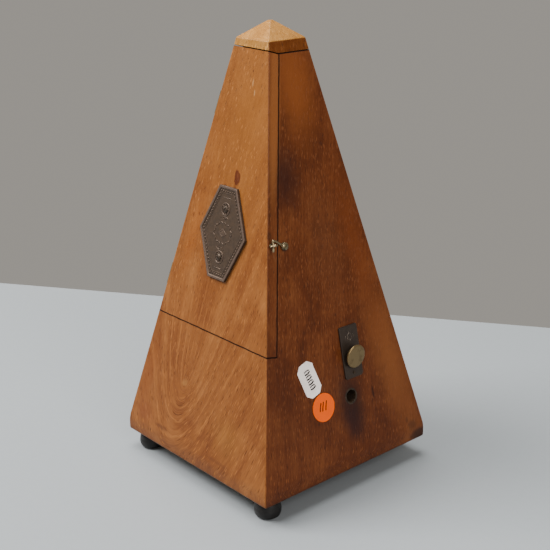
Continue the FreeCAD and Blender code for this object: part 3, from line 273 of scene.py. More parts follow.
def wood(name, panel, dark, mid, light, lean=0.0, focus=None, pores=(0.5, 0.5), stains=(),
         streaks=(0.55, 0.34, 0.14), mottle=0.42, rings=0.0, dash=0.15, gloss=0.40,
         worn=(0.25, 0.10, 0.03), seams=True, dense=((0.0, 0.0), (60.0, 90.0)), sheen=0.22):
    """Varnished open-pored wood whose grain runs up a panel, or round a focus as cathedral grain."""
    g = Graph(name)
    u, v, w = panel_place(g, panel)
    flat = g.combine(u, v, 0.0)
    sway = g.noise(g.combine(g.mul(u, 0.022), g.mul(v, 0.009), w), 2.0)
    sway = g.mul(g.sub(sway, 0.5), 9.0)
    if focus:
        c, s = math.cos(math.radians(focus[2])), math.sin(math.radians(focus[2]))
        du = g.add(g.sub(u, focus[0]), g.mul(sway, 0.7))
        dv = g.sub(v, focus[1])
        a = g.sub(g.mul(du, c), g.mul(dv, s))
        b = g.add(g.mul(du, s / focus[3]), g.mul(dv, c / focus[3]))
        r = g.length(g.combine(a, b))
        across = g.math("SQRT", g.most(g.sub(r, b), 0.0))
        up = g.math("SQRT", g.most(g.add(r, b), 0.0))
        across = g.add(g.mul(across, GRAIN_SPREAD), g.mul(a, 0.12))
        up = g.mul(up, GRAIN_SPREAD * focus[3] * 0.5)
        layer = g.mul(a, 0.05)
        run = g.mul(r, focus[3])
    else:
        c, s = math.cos(math.radians(lean)), math.sin(math.radians(lean))
        across = g.add(g.add(g.mul(u, c), g.mul(v, s)), sway)
        up = g.sub(g.mul(v, c), g.mul(u, s))
        layer = 0.0
        run = up

    def along(across_scale, up_scale, shift=0.0):
        third = g.add(g.add(g.mul(w, across_scale * 0.5), layer), shift)
        return g.combine(g.mul(across, across_scale), g.mul(up, up_scale), third)

    broad = g.noise(along(0.13, 0.006), 4.0, 0.6)
    fibre = g.noise(along(0.75, 0.03), 5.0, 0.65)
    hair = g.noise(along(3.0, 0.16, 7.0), 3.0, 0.6)
    cloud = g.noise(g.vector("SCALE", flat, 0.034), 4.0, 0.55, 0.8)
    tone = 0.5
    for part, share in ((broad, streaks[0]), (fibre, streaks[1]), (hair, streaks[2]), (cloud, mottle)):
        tone = g.add(tone, g.mul(g.sub(part, 0.5), share))
    colour = g.ramp(tone, [(0.34, dark), (0.50, mid), (0.66, light)])

    # Growth lines: thin and pale, each with a darker side, fading in and out
    if rings:
        wave = g.add(g.mul(across, 0.20), g.mul(broad, 1.6))
        ring = g.math("FRACT", wave)
        line = g.mul(g.smooth(ring, 0.0, 0.10), g.smooth(ring, 0.26, 0.12))
        shade = g.mul(g.smooth(ring, 0.16, 0.34), g.smooth(ring, 0.85, 0.34))
        fade = g.smooth(g.noise(g.vector("SCALE", flat, 0.05), 2.0), 0.40, 0.56)
        near = g.smooth(g.length(g.combine(g.sub(u, focus[0]), g.sub(v, focus[1]))),
                        62.0, 22.0, 0.25, 1.0)
        strength = g.mul(g.mul(fade, near), rings)
        colour = g.mix(g.mul(shade, g.mul(near, rings * 0.45)), colour, dark)
        colour = g.mix(g.mul(line, strength), colour, times(light, 1.15))

    # Open pores: short dashes along the grain, some dark, some holding pale filler
    distance, random_colour = g.cells(g.combine(g.mul(across, 1.35), g.mul(run, dash), w))
    chance = g.split(random_colour)
    mark = g.smooth(distance, 0.36, 0.14)
    patch = g.noise(g.vector("SCALE", flat, 0.045), 2.0)
    spread = g.mul(patch, 0.45)
    spread = g.add(spread, g.mul(g.spot(flat, dense[0], dense[1], 0.0, 1.0), 0.38))
    dark_here = g.smooth(g.add(chance[0], spread), 1.30 - pores[0], 1.38 - pores[0])
    pale_here = g.smooth(g.add(chance[1], spread), 1.30 - pores[1], 1.38 - pores[1])
    dark_pore = g.mul(mark, dark_here)
    pale_pore = g.mul(mark, pale_here)
    colour = g.mix(g.mul(dark_pore, 0.65), colour, times(dark, 0.45))
    colour = g.mix(g.mul(pale_pore, 0.6), colour, times(light, 1.5))
    grit = g.noise(g.combine(g.mul(across, 2.2), g.mul(run, 0.32), w), 2.0, 0.6)
    colour = g.mix(g.smooth(grit, 0.52, 0.68, 0.0, 0.35), colour, times(dark, 0.8))
    colour = g.mix(g.smooth(grit, 0.46, 0.30, 0.0, 0.28), colour, times(light, 1.2))

    # Stains, knots and rubbed places, their outlines broken up
    ragged = g.noise(g.vector("SCALE", flat, 0.22), 3.0)
    ragged = g.sub(ragged, 0.5)
    for centre, radii, turn, edge, wobble, strength, paint in stains:
        offset = g.mul(ragged, wobble)
        shifted = g.vector("ADD", flat, g.combine(offset, offset, 0.0))
        share = g.mul(g.spot(shifted, centre, radii, turn, edge), strength)
        colour = g.mix(share, colour, paint)

    # Wear on the upright corners, darker towards the foot, and dirt with painted shade in the joints
    distance_to_edge, z = edge_distance(g)
    chip = g.noise(g.at_scale(0.35), 4.0, 0.7)
    edge_wear = g.smooth(g.add(distance_to_edge, g.mul(chip, 2.2)), 2.1, 1.0)
    colour = g.mix(g.mul(edge_wear, 0.6), colour, worn)
    foot = g.smooth(g.add(z, g.mul(chip, 5.0)), 16.0, 11.0)
    colour = g.mix(g.mul(foot, 0.45), colour, times(dark, 0.5))
    # The joints darkened with dirt and painted shade
    joint_dirt_and_shade = g.mul(seam_dirt(g), 0.95) if seams else 0.0
    colour = g.mix(joint_dirt_and_shade, colour, DIRT_AND_SHADE_COLOUR)

    film = g.noise(g.at_scale(0.09), 4.0, 0.6)
    rough = g.add(gloss, g.mul(g.sub(film, 0.5), 0.22))
    rough = g.add(rough, g.mul(g.most(dark_pore, pale_pore), 0.25), clamp=True)
    height = g.sub(g.mul(fibre, 0.30), g.mul(dark_pore, 0.9))
    height = g.sub(height, g.mul(pale_pore, 0.4))
    height = g.add(height, g.mul(film, 0.6))
    g.bump(height, 0.35, 0.00025)
    rough = g.most(rough, joint_dirt_and_shade)
    g.shader.inputs["Specular IOR Level"].default_value = sheen
    return g.set(Base_Color=colour, Roughness=rough)


def metal(name, base, tarnish, spread=0.5, rough=0.32, metallic=0.9, scale=0.25, brushed=None, grain=0.25,
          bump=0.15, depth=0.0001, pits=0.7):
    """Metal with clouds of tarnish, pits, and fine brushing along one direction."""
    g = Graph(name)
    cloud = g.noise(g.at_scale(scale), 5.0, 0.65, 0.4)
    pit_distance, pit_colour = g.cells(g.at_scale(1.1))
    pit = g.mul(g.smooth(pit_distance, 0.26, 0.05),
                 g.smooth(g.split(pit_colour)[0], 0.80, 0.86))
    lines = g.noise(g.vector("MULTIPLY", g.millimetres, brushed or (3.0, 3.0, 3.0)), 3.0, 0.7)
    share = g.smooth(g.add(cloud, g.mul(g.sub(lines, 0.5), 0.25)),
                     0.72 - spread * 0.4, 0.86 - spread * 0.4)
    shade = g.mix(g.smooth(lines, 0.25, 0.75, 0.0, grain), base, times(base, 0.55))
    colour = g.mix(share, shade, tarnish)
    colour = g.mix(g.mul(pit, pits), colour, times(tarnish, 0.3))
    roughness = g.add(rough, g.mul(share, 0.25))
    roughness = g.add(roughness, g.mul(g.sub(lines, 0.5), 0.16), clamp=True)
    height = g.sub(g.mul(lines, 0.5), g.mul(pit, pits))
    g.bump(g.add(height, g.mul(cloud, 0.4)), bump, depth)
    g.shader.inputs["Metallic"].default_value = metallic
    return g.set(Base_Color=colour, Roughness=roughness)


def relief_metal(name, panel, low, high, base, recess, rubbed, metallic=0.75, rough=0.42):
    """Patinated metal, dark in its hollows and rubbed bright on what stands out of the panel."""
    g = Graph(name)
    u, v, w = panel_place(g, panel)
    cloud = g.noise(g.combine(g.mul(u, 0.35), g.mul(v, 0.35), w), 5.0, 0.7)
    dust = g.noise(g.at_scale(2.2), 4.0, 0.7)
    raised = g.smooth(g.add(w, g.mul(g.sub(dust, 0.5), (high - low) * 0.6)),
                      low, high)
    colour = g.mix(g.smooth(cloud, 0.35, 0.65), base, recess)
    colour = g.mix(g.mul(raised, 0.8), colour, rubbed)
    colour = g.mix(g.smooth(dust, 0.60, 0.72, 0.0, 0.15), colour, times(recess, 0.5))
    roughness = g.add(rough, g.mul(g.sub(cloud, 0.5), 0.3), clamp=True)
    g.bump(g.add(g.mul(dust, 0.7), g.mul(cloud, 0.5)), 0.3, 0.00012)
    g.shader.inputs["Metallic"].default_value = metallic
    return g.set(Base_Color=colour, Roughness=roughness)


def paper(name, base, soil, panel):
    g = Graph(name)
    u, v, w = panel_place(g, panel)
    fibre = g.noise(g.combine(g.mul(u, 2.4), g.mul(v, 1.2), w), 5.0, 0.7)
    cloud = g.noise(g.at_scale(0.16), 3.0)
    colour = g.mix(g.smooth(cloud, 0.48, 0.75, 0.0, 0.5), base, soil)
    colour = g.mix(g.smooth(fibre, 0.35, 0.7, 0.0, 0.16), colour, times(base, 0.7))
    g.bump(fibre, 0.25, 0.00006)
    g.shader.inputs["Specular IOR Level"].default_value = 0.12
    return g.set(Base_Color=colour, Roughness=g.add(g.mul(fibre, 0.2), 0.55))


def lacquer(name, base, dusty, rough=0.26):
    g = Graph(name)
    cloud = g.noise(g.at_scale(0.4), 4.0, 0.65)
    ring = g.noise(g.vector("MULTIPLY", g.millimetres, (0.3, 0.3, 5.0)), 3.0)
    colour = g.mix(g.smooth(cloud, 0.5, 0.75, 0.0, 0.6), base, dusty)
    g.bump(g.add(g.mul(ring, 0.5), cloud), 0.2, 0.0001)
    g.shader.inputs["Specular IOR Level"].default_value = 0.3
    g.shader.inputs["Coat Weight"].default_value = 0.08
    g.shader.inputs["Coat Roughness"].default_value = 0.25
    return g.set(Base_Color=colour, Roughness=g.smooth(cloud, 0.3, 0.8, rough, rough + 0.3))


def floor_material():
    g = Graph("table_top")
    cloud = g.noise(g.vector("SCALE", g.place, 2.2), 3.0)
    speck = g.noise(g.vector("SCALE", g.place, 240.0), 2.0)
    colour = g.mix(g.smooth(cloud, 0.3, 0.7), (0.248, 0.274, 0.294), (0.238, 0.262, 0.282))
    colour = g.mix(g.smooth(speck, 0.4, 0.7, 0.0, 0.06), colour, (0.18, 0.20, 0.21))
    g.bump(speck, 0.05, 0.0001)
    return g.set(Base_Color=colour, Roughness=0.5)


GRIME = (0.016, 0.0065, 0.0055)
KNOT = (0.060, 0.011, 0.004)
SPECK = (0.040, 0.012, 0.006)
PALE = (0.36, 0.20, 0.09)
# Each mark on a panel: centre, radii, turn, soft share of its edge, raggedness, strength, colour
FRONT_STAINS = [
    ((4.0, 172.0), (36.0, 88.0), 0.0, 1.0, 6.0, 0.42, (0.250, 0.097, 0.0190)),
    ((3.8, 144.6), (2.5, 4.8), 4.0, 0.35, 3.2, 0.88, KNOT),
    ((4.2, 145.6), (1.0, 2.2), 10.0, 0.6, 1.0, 0.6, (0.11, 0.032, 0.010)),
    ((3.3, 138.0), (1.6, 3.6), 8.0, 0.6, 1.0, 0.6, KNOT),
    ((-4.0, 139.0), (1.0, 0.9), 0.0, 0.4, 0.5, 0.7, SPECK),
    ((-21.0, 121.5), (0.7, 1.2), 0.0, 0.4, 0.5, 0.6, SPECK),
    ((4.5, 196.0), (0.6, 0.9), 0.0, 0.4, 0.5, 0.6, SPECK),
    ((-0.5, 201.5), (0.5, 0.6), 0.0, 0.4, 0.5, 0.5, SPECK),
    ((5.5, 190.5), (0.6, 2.6), 4.0, 0.7, 0.6, 0.55, PALE),
    ((7.6, 186.0), (0.6, 2.2), 4.0, 0.7, 0.6, 0.55, PALE),
    ((-20.0, 26.0), (9.0, 12.0), -10.0, 0.8, 3.0, 0.22, (0.24, 0.085, 0.018)),
    ((-14.0, 34.0), (4.0, 2.4), 30.0, 0.8, 1.5, 0.4, (0.28, 0.13, 0.035)),
    ((-44.0, 8.0), (11.0, 9.0), -10.0, 0.9, 3.0, 0.4, (0.13, 0.034, 0.012)),
    ((-28.0, 4.5), (9.0, 2.0), -4.0, 0.8, 1.5, 0.55, (0.06, 0.018, 0.007)),
    ((20.0, 3.0), (13.0, 1.6), -2.0, 0.8, 1.5, 0.4, (0.07, 0.022, 0.009)),
    ((-24.0, 110.0), (7.0, 34.0), -12.0, 1.0, 4.0, 0.35, (0.20, 0.052, 0.005)),
    ((24.0, 17.0), (17.0, 17.0), 0.0, 1.0, 5.0, 0.35, (0.22, 0.092, 0.017)),
    ((-45.0, 30.0), (9.0, 34.0), -12.0, 1.0, 4.0, 0.45, (0.140, 0.034, 0.0060)),
]
SIDE_STAINS = [
    ((0.0, 190.0), (18.0, 44.0), 0.0, 0.9, 6.0, 0.80, (0.215, 0.060, 0.0130)),
    ((6.5, 27.0), (12.5, 26.0), 6.0, 0.8, 4.0, 0.78, GRIME),
    ((6.0, 18.0), (7.5, 13.0), 10.0, 0.8, 3.0, 0.40, (0.026, 0.008, 0.009)),
    ((10.0, 54.0), (9.0, 17.0), 0.0, 0.6, 2.0, 0.45, (0.030, 0.012, 0.006)),
    ((-15.0, 147.0), (14.0, 25.0), 6.0, 0.95, 6.0, 0.74, (0.026, 0.008, 0.006)),
    ((-36.0, 40.0), (14.0, 60.0), 5.0, 1.0, 8.0, 0.25, (0.05, 0.012, 0.004)),
    ((22.5, 28.5), (0.9, 5.0), 4.0, 0.6, 0.8, 0.75, (0.018, 0.006, 0.004)),
    ((47.5, 2.5), (5.0, 4.5), 0.0, 0.8, 2.0, 0.65, (0.022, 0.009, 0.005)),
    ((52.5, -4.0), (9.0, 4.5), -8.0, 0.6, 2.0, 0.8, (0.012, 0.006, 0.004)),
    ((44.0, 6.5), (1.4, 2.2), 0.0, 0.6, 0.8, 0.6, (0.018, 0.007, 0.004)),
    ((38.0, 42.0), (18.0, 62.0), 12.0, 1.0, 8.0, 0.80, (0.205, 0.066, 0.0170)),
    ((25.0, 105.0), (12.0, 66.0), 10.0, 1.0, 8.0, 0.55, (0.165, 0.040, 0.0080)),
    ((4.0, 112.0), (17.0, 42.0), 6.0, 1.0, 9.0, 0.30, (0.135, 0.046, 0.017)),
    ((-30.0, 121.5), (2.6, 2.8), 0.0, 0.6, 1.4, 0.55, (0.030, 0.012, 0.006)),
    ((-28.6, 110.8), (0.35, 3.6), 14.0, 0.7, 0.5, 0.5, (0.16, 0.08, 0.04)),
    ((-21.0, 113.6), (3.0, 2.2), 0.0, 0.8, 0.8, 0.6, (0.020, 0.012, 0.011)),
    # A lighter streak up the door's side strip: painted light lifting the shade it falls into
    ((-14.8, 178.0), (4.6, 62.0), -12.5, 0.7, 1.5, 0.75, (0.270, 0.092, 0.0230)),
    ((-32.0, 98.0), (4.6, 52.0), -12.5, 0.8, 1.5, 0.30, (0.160, 0.046, 0.0120)),
]

front_wood = wood("front_wood", FRONT, (0.097, 0.025, 0.0052), (0.166, 0.055, 0.0118), (0.240, 0.092, 0.024),
                  focus=(-14.0, 34.0, 10.0, 2.7), pores=(0.44, 0.46), stains=FRONT_STAINS,
                  streaks=(0.42, 0.22, 0.08), mottle=0.40, rings=0.6, dash=0.26, worn=(0.25, 0.10, 0.026),
                  dense=((40.0, 22.0), (66.0, 80.0)), sheen=0.135)
right_wood = wood("right_wood", RIGHT, (0.048, 0.0115, 0.0034), (0.104, 0.026, 0.0066), (0.175, 0.054, 0.015),
                  lean=-11.0, pores=(0.66, 0.66), stains=SIDE_STAINS, streaks=(0.24, 0.26, 0.26), mottle=0.46,
                  dash=0.26, worn=(0.18, 0.058, 0.016), dense=((-2.0, 112.0), (60.0, 80.0)), sheen=0.15)
left_wood = wood("left_wood", LEFT, (0.055, 0.014, 0.0028), (0.115, 0.031, 0.0050), (0.17, 0.054, 0.011),
                 lean=4.0, pores=(0.60, 0.58), streaks=(0.35, 0.25, 0.14), dash=0.36,
                 worn=(0.20, 0.07, 0.016))
back_wood = wood("back_wood", BACK, (0.055, 0.014, 0.0026), (0.12, 0.033, 0.0052), (0.17, 0.056, 0.011),
                 focus=(6.0, 60.0, -6.0, 2.7), pores=(0.52, 0.50), streaks=(0.42, 0.24, 0.10), rings=0.4,
                 dash=0.32, worn=(0.20, 0.07, 0.016))
# The lid's wood is paler than the front's, partly a painted highlight standing in for the sheen on the roof's
# front facet
lid_wood = wood("lid_wood", FRONT, (0.17, 0.062, 0.0110), (0.275, 0.125, 0.028), (0.38, 0.196, 0.058),
                lean=2.0, pores=(0.40, 0.44), streaks=(0.35, 0.25, 0.1), gloss=0.34, dash=0.25,
                worn=(0.40, 0.21, 0.07), sheen=0.10)
# A darker copy of the lid's wood for the lid's side faces: painted shade
lid_side_shaded_wood = wood("lid_side_shaded_wood", RIGHT, (0.075, 0.019, 0.0035), (0.125, 0.033, 0.0055),
                     (0.18, 0.058, 0.012), lean=2.0, pores=(0.46, 0.46), streaks=(0.35, 0.25, 0.1), dash=0.25,
                     worn=(0.30, 0.14, 0.04), sheen=0.13)
plain_wood = wood("plain_wood", TOP, (0.15, 0.085, 0.035), (0.22, 0.135, 0.062), (0.29, 0.19, 0.10),
                  lean=3.0, pores=(0.35, 0.30), gloss=0.62, worn=(0.26, 0.18, 0.10), seams=False)
board_wood = wood("board_wood", FRONT, (0.055, 0.020, 0.006), (0.10, 0.040, 0.013), (0.15, 0.068, 0.024),
                  lean=2.0, pores=(0.40, 0.40), gloss=0.48, worn=(0.15, 0.07, 0.03), seams=False)

bronze = relief_metal("plaque_bronze", FRONT, 1.05, 1.62, (0.065, 0.040, 0.024), (0.045, 0.028, 0.018),
                      (0.116, 0.077, 0.059), 0.55, 0.50)
screw_bronze = metal("screw_bronze", (0.052, 0.035, 0.023), (0.026, 0.018, 0.013), 0.6, 0.46, 0.6, 0.5)
plate_metal = relief_metal("dark_plate", RIGHT, 0.6, 1.1, (0.050, 0.034, 0.024), (0.026, 0.018, 0.015),
                           (0.060, 0.043, 0.032), 0.6, 0.42)
plate_mark = metal("rubbed_plate", (0.17, 0.13, 0.10), (0.08, 0.06, 0.05), 0.4, 0.42, 0.6)
bush_metal = metal("bush_metal", (0.055, 0.033, 0.018), (0.026, 0.016, 0.010), 0.8, 0.45, 0.5)
knob_brass = metal("knob_brass", (0.20, 0.138, 0.062), (0.125, 0.084, 0.038), 0.5, 0.33, 0.75, 0.16,
                   (0.5, 2.0, 2.0), 0.10, 0.08, 0.00004, 0.0)
latch_brass = metal("latch_brass", (0.30, 0.225, 0.125), (0.075, 0.070, 0.045), 0.65, 0.24, 0.85, 0.55)
hinge_brass = metal("hinge_brass", (0.27, 0.19, 0.075), (0.10, 0.068, 0.028), 0.6, 0.36, 0.9, 0.30)
sheet_brass = metal("sheet_brass", (0.42, 0.30, 0.115), (0.24, 0.16, 0.055), 0.35, 0.30, 0.95, 0.10,
                    (0.4, 0.25, 5.0))
weight_brass = metal("weight_brass", (0.48, 0.36, 0.145), (0.30, 0.21, 0.08), 0.3, 0.24, 0.95, 0.22,
                     (0.3, 4.0, 4.0))
steel = metal("steel", (0.36, 0.36, 0.365), (0.17, 0.14, 0.12), 0.35, 0.30, 0.95, 0.22, (4.0, 4.0, 0.4))
blued_steel = metal("blued_steel", (0.05, 0.065, 0.125), (0.035, 0.032, 0.036), 0.5, 0.26, 0.9, 0.3)
nickel = metal("nickel", (0.50, 0.49, 0.46), (0.32, 0.30, 0.26), 0.3, 0.16, 1.0, 0.2, (1.0, 1.0, 6.0), 0.12,
               0.08)
lead = metal("cast_lead", (0.13, 0.13, 0.135), (0.075, 0.075, 0.08), 0.6, 0.55, 0.7, 0.4, None, 0.3, 0.5,
             0.0002)
enamel = paper("scale_enamel", (0.43, 0.395, 0.30), (0.30, 0.25, 0.16), FRONT)
ink = paper("ink", (0.008, 0.007, 0.0065), (0.012, 0.011, 0.010), RIGHT)
white_paper = paper("white_paper", (1.0, 0.92, 0.88), (0.86, 0.78, 0.72), RIGHT)
orange_paper = paper("orange_paper", (0.95, 0.12, 0.0), (0.86, 0.10, 0.0), RIGHT)
black_lacquer = lacquer("black_lacquer", (0.0040, 0.0030, 0.0026), (0.009, 0.007, 0.006), 0.34)


# ---------------------------------------------------------------- mesh helpers

def as_object(bm, name):
    mesh = bpy.data.meshes.new(name)
    bm.to_mesh(mesh)
    bm.free()
    made = bpy.data.objects.new(name, mesh)
    bpy.context.scene.collection.objects.link(made)
    return made


def make(name, bm, body, material, hides=(), sharp=SHARP_DEGREES):
    """Turns finished geometry into a piece that rides on a body."""
    bmesh.ops.recalc_face_normals(bm, faces=bm.faces)
    piece = as_object(bm, name)
    piece.data.polygons.foreach_set("use_smooth", [True] * len(piece.data.polygons))
    piece.data.set_sharp_from_angle(angle=math.radians(sharp))
    piece.data.materials.append(material)
    normals = piece.modifiers.new("weighted", "WEIGHTED_NORMAL")
    normals.keep_sharp = True
    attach(piece, body)
    if hides:
        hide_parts(*hides)
    return piece


def add_rings(bm, rows, capped=True):
    """Skins closed rings of points with quads, and caps the first and last ring."""
    made = [[bm.verts.new(p) for p in row] for row in rows]
    count = len(made[0])
    for a, b in zip(made, made[1:]):
        for i in range(count):
            j = (i + 1) % count
            bm.faces.new((a[i], a[j], b[j], b[i]))
    if capped:
        bm.faces.new(made[0])
        bm.faces.new(made[-1])


def circle(radius, steps, height=0.0):
    turns = [2 * math.pi * i / steps for i in range(steps)]
    return [Vector((radius * math.cos(t), radius * math.sin(t), height)) for t in turns]


def add_lathe(bm, profile, place, steps=48):
    """Turns a profile of (radius, height) pairs round the place's third axis."""
    add_rings(bm, [[place @ p for p in circle(radius, steps, height)] for radius, height in profile])


def on_side(x, y, z):
    """A place on the right side whose third axis points outwards, level."""
    turned = Matrix.Rotation(math.pi / 2, 4, "Y") @ Matrix.Diagonal((MM, MM, MM, 1.0))
    return Matrix.Translation(Vector((x, y, z)) * MM) @ turned


def smooth_path(points, steps=8):
    """A Catmull-Rom curve through points."""
    found = []
    ends = [points[0] * 2 - points[1], *points, points[-1] * 2 - points[-2]]
    for a, b, c, d in zip(ends, ends[1:], ends[2:], ends[3:]):
        for i in range(steps):
            t = i / steps
            found.append(0.5 * ((2 * b) + (c - a) * t + (2 * a - 5 * b + 4 * c - d) * t * t
                                + (3 * b - a - 3 * c + d) * t ** 3))
    return [*found, points[-1]]


def add_tube(bm, points, radius, sides=10, closed=False):
    """A round tube along points, its ends domed, or joined if closed."""
    rows = []
    normal = None
    count = len(points)
    for i, point in enumerate(points):
        before = points[i - 1] if closed or i else point
        after = points[(i + 1) % count] if closed or i < count - 1 else point
        along = (after - before).normalized()
        if normal is None:
            normal = along.orthogonal().normalized()
        normal = (normal - along * normal.dot(along)).normalized()
        other = along.cross(normal)
        rows.append((point, along, normal, other))
    rings = [(p, n, o, radius) for p, a, n, o in rows]
    if closed:
        rings.append(rings[0])
    else:
        for where, sign in ((0, -1), (len(rings) - 1, 1)):
            p, a, n, o = rows[where]
            cap = [(p + a * sign * radius * s, n, o, radius * c)
                   for s, c in ((0.55, 0.83), (0.9, 0.44), (0.99, 0.12))]
            rings = cap[::-1] + rings if sign < 0 else rings + cap
    turns = [2 * math.pi * k / sides for k in range(sides)]
    add_rings(bm, [[p + n * r * math.cos(t) + o * r * math.sin(t) for t in turns] for p, n, o, r in rings],
              not closed)


def weld(bm):
    bmesh.ops.remove_doubles(bm, verts=bm.verts, dist=1e-7)


def evaluated(piece):
    """A copy of a piece's mesh with its modifiers applied."""
    depsgraph = bpy.context.evaluated_depsgraph_get()
    return bpy.data.meshes.new_from_object(piece.evaluated_get(depsgraph), depsgraph=depsgraph)


# ---------------------------------------------------------------- wooden case, its corners rounded by wear

def rounded_envelope():
    """The case's whole outside with softened edges, a hair larger than the flat faces."""
    hair = 0.002
    bm = bmesh.new()
    rings = []
    roof_half = half_at(ROOF_LOW)
    top_half = roof_half * (ROOF_APEX - ROOF_HIGH) / (ROOF_APEX - ROOF_LOW)
    for z, half in ((CASE_BOTTOM - hair, BASE_HALF), (BAND_TOP, BASE_HALF), (ROOF_LOW, roof_half),
                    (ROOF_HIGH + hair, top_half)):
        x, y = half + hair, half * DEPTH_RATIO + hair
        rings.append([bm.verts.new(Vector(p) * MM) for p in ((-x, -y, z), (x, -y, z), (x, y, z), (-x, y, z))])
    for a, b in zip(rings, rings[1:]):
        for i in range(4):
            bm.faces.new((a[i], a[(i + 1) % 4], b[(i + 1) % 4], b[i]))
    bm.faces.new(rings[0])
    bm.faces.new(rings[-1])
    bmesh.ops.recalc_face_normals(bm, faces=bm.faces)
    weight = bm.edges.layers.float.new("bevel_weight_edge")
    widths = {"upright": 0.85, "foot": 1.3, "band": 2.2, "eaves": 0.4, "hip": 0.45, "flat": 0.3}
    largest = max(widths.values())
    for edge in bm.edges:
        low, high = sorted(v.co.z / MM for v in edge.verts)
        if high - low > 1:
            kind = "hip" if low > ROOF_LOW - 1 else "upright"
        elif high < CASE_BOTTOM + 1:
            kind = "foot"
        elif high < BAND_TOP + 1:
            kind = "band"
        else:
            kind = "eaves" if high < ROOF_LOW + 1 else "flat"
        edge[weight] = widths[kind] / largest
    envelope = as_object(bm, "envelope")
    bevel = envelope.modifiers.new("bevel", "BEVEL")
    bevel.limit_method = "WEIGHT"
    bevel.width = largest * MM
    bevel.segments = 4
    bevel.use_clamp_overlap = True
    return envelope


def softened(node, envelope, picked, width):
    """A CAD node's mesh cut back to the envelope, with the picked edges rounded."""
    bm = bmesh.new()
    bm.from_mesh(nodes[node].data)
    weld(bm)
    bmesh.ops.dissolve_limit(bm, angle_limit=math.radians(0.3), verts=bm.verts, edges=bm.edges)
    rough = as_object(bm, node + "_rough")
    cut = rough.modifiers.new("cut", "BOOLEAN")
    cut.operation = "INTERSECT"
    cut.solver = "EXACT"
    cut.object = envelope
    bpy.context.view_layer.update()
    result = evaluated(rough)
    bpy.data.objects.remove(rough)
    bm = bmesh.new()
    bm.from_mesh(result)
    weld(bm)
    chosen = [e for e in bm.edges if len(e.link_faces) == 2 and e.calc_face_angle(0) > math.radians(30)
              and picked([v.co / MM for v in e.verts])]
    if chosen:
        bmesh.ops.bevel(bm, geom=chosen, offset=width * MM, segments=2, profile=0.5, affect="EDGES",
                        clamp_overlap=True)
    return bm


def depth_in_front(p):
    """How far a point in millimetres lies behind the front face, and its place up the slope."""
    local = FRONT.inverted() @ (p * MM)
    return -local.z, local.y


def on_outside(p):
    half = half_at(p.z)
    return max(abs(p.x) - half, abs(p.y) - half * DEPTH_RATIO) > -0.05 or p.z > ROOF_LOW - 0.05


def seam_of_case(points):
    middle = (points[0] + points[1]) / 2
    depth, v = depth_in_front(middle)
    beside_door = abs(depth - DOOR_BACK) < 0.1 and v > DOOR_LOW - 1
    below_door = abs(v - DOOR_LOW + 0.15) < 0.1 and depth < DOOR_BACK + 0.1
    at_top = abs(middle.z - BODY_TOP) < 0.05
    return all(on_outside(p) for p in points) and (beside_door or below_door or at_top)


def seam_of_door(points):
    return all(on_outside(p) for p in points)


def seam_of_lid(points):
    middle = (points[0] + points[1]) / 2
    return all(on_outside(p) for p in points) and middle.z < ROOF_LOW - 1


envelope = rounded_envelope()
WOODEN = [
    ("side_panel_left", "case", left_wood, "case_wood", seam_of_case),
    ("side_panel_right", "case", right_wood, "case_wood", seam_of_case),
    ("back_panel", "case", back_wood, "case_wood", seam_of_case),
    ("front_lower_panel", "case", front_wood, "front_wood", seam_of_case),
    ("front_door", "door", front_wood, "front_wood", seam_of_door),
    ("lid", "lid", lid_wood, "lid_wood", seam_of_lid),
]
# Faces turned sideways take the side woods; the lid's take a darker copy of its own wood, as painted shade
SIDEWAYS = {"front_door": (right_wood, left_wood), "front_lower_panel": (right_wood, left_wood),
            "lid": (lid_side_shaded_wood, lid_side_shaded_wood)}
for node, body, material, slot, picked in WOODEN:
    bm = softened(node, envelope, picked, SEAM_ROUND)
    bmesh.ops.recalc_face_normals(bm, faces=bm.faces)
    for face in bm.faces:
        roof = face.normal.z > 0.4
        if node in SIDEWAYS and abs(face.normal.x) > 0.7 and not roof:
            face.material_index = 1 if face.normal.x > 0 else 2
    piece = make(node + "_wood", bm, body, material, (node,))
    for extra in SIDEWAYS.get(node, ()):
        piece.data.materials.append(extra)
bpy.data.objects.remove(envelope)


# ---------------------------------------------------------------- plaque

PLAQUE_V = 116.0
PLAQUE_HALF_W = 17.6
PLAQUE_HALF_H = 23.2
PLAQUE_END = 6.5
PLAQUE_FIELD = 1.0
PLAQUE_RIM = 1.5
PLAQUE_SCREW = 12.0
BEAD_PITCH = 1.75


def hexagon(inset):
    """The plaque's outline drawn in by an inset, as points going round."""
    run, rise = PLAQUE_HALF_W - PLAQUE_END, PLAQUE_HALF_H
    half_w = PLAQUE_HALF_W - inset * math.hypot(run, rise) / rise
    half_h = PLAQUE_HALF_H - inset
    end = half_w - half_h / PLAQUE_HALF_H * run
    return [Vector((x, PLAQUE_V + y, 0)) for x, y in
            ((half_w, 0), (end, half_h), (-end, half_h), (-half_w, 0), (-end, -half_h), (end, -half_h))]


def add_outline(bm, steps):
    """Skins the plaque from its back edge, over its rim, to its field."""
    rings = [[FRONT @ (p + Vector((0, 0, height))) for p in divided(hexagon(inset), 8)]
             for inset, height in steps]
    add_rings(bm, rings)


def divided(corners, parts):
    found = []
    for a, b in zip(corners, corners[1:] + corners[:1]):
        found += [a.lerp(b, i / parts) for i in range(parts)]
    return found


def add_bead(bm, place, radius, height, sides=8):
    """A small dome standing on a panel."""
    add_lathe(bm, [(radius, -0.05), (radius * 0.97, height * 0.3), (radius * 0.75, height * 0.72),
                   (radius * 0.35, height * 0.95), (radius * 0.08, height)], place, sides)


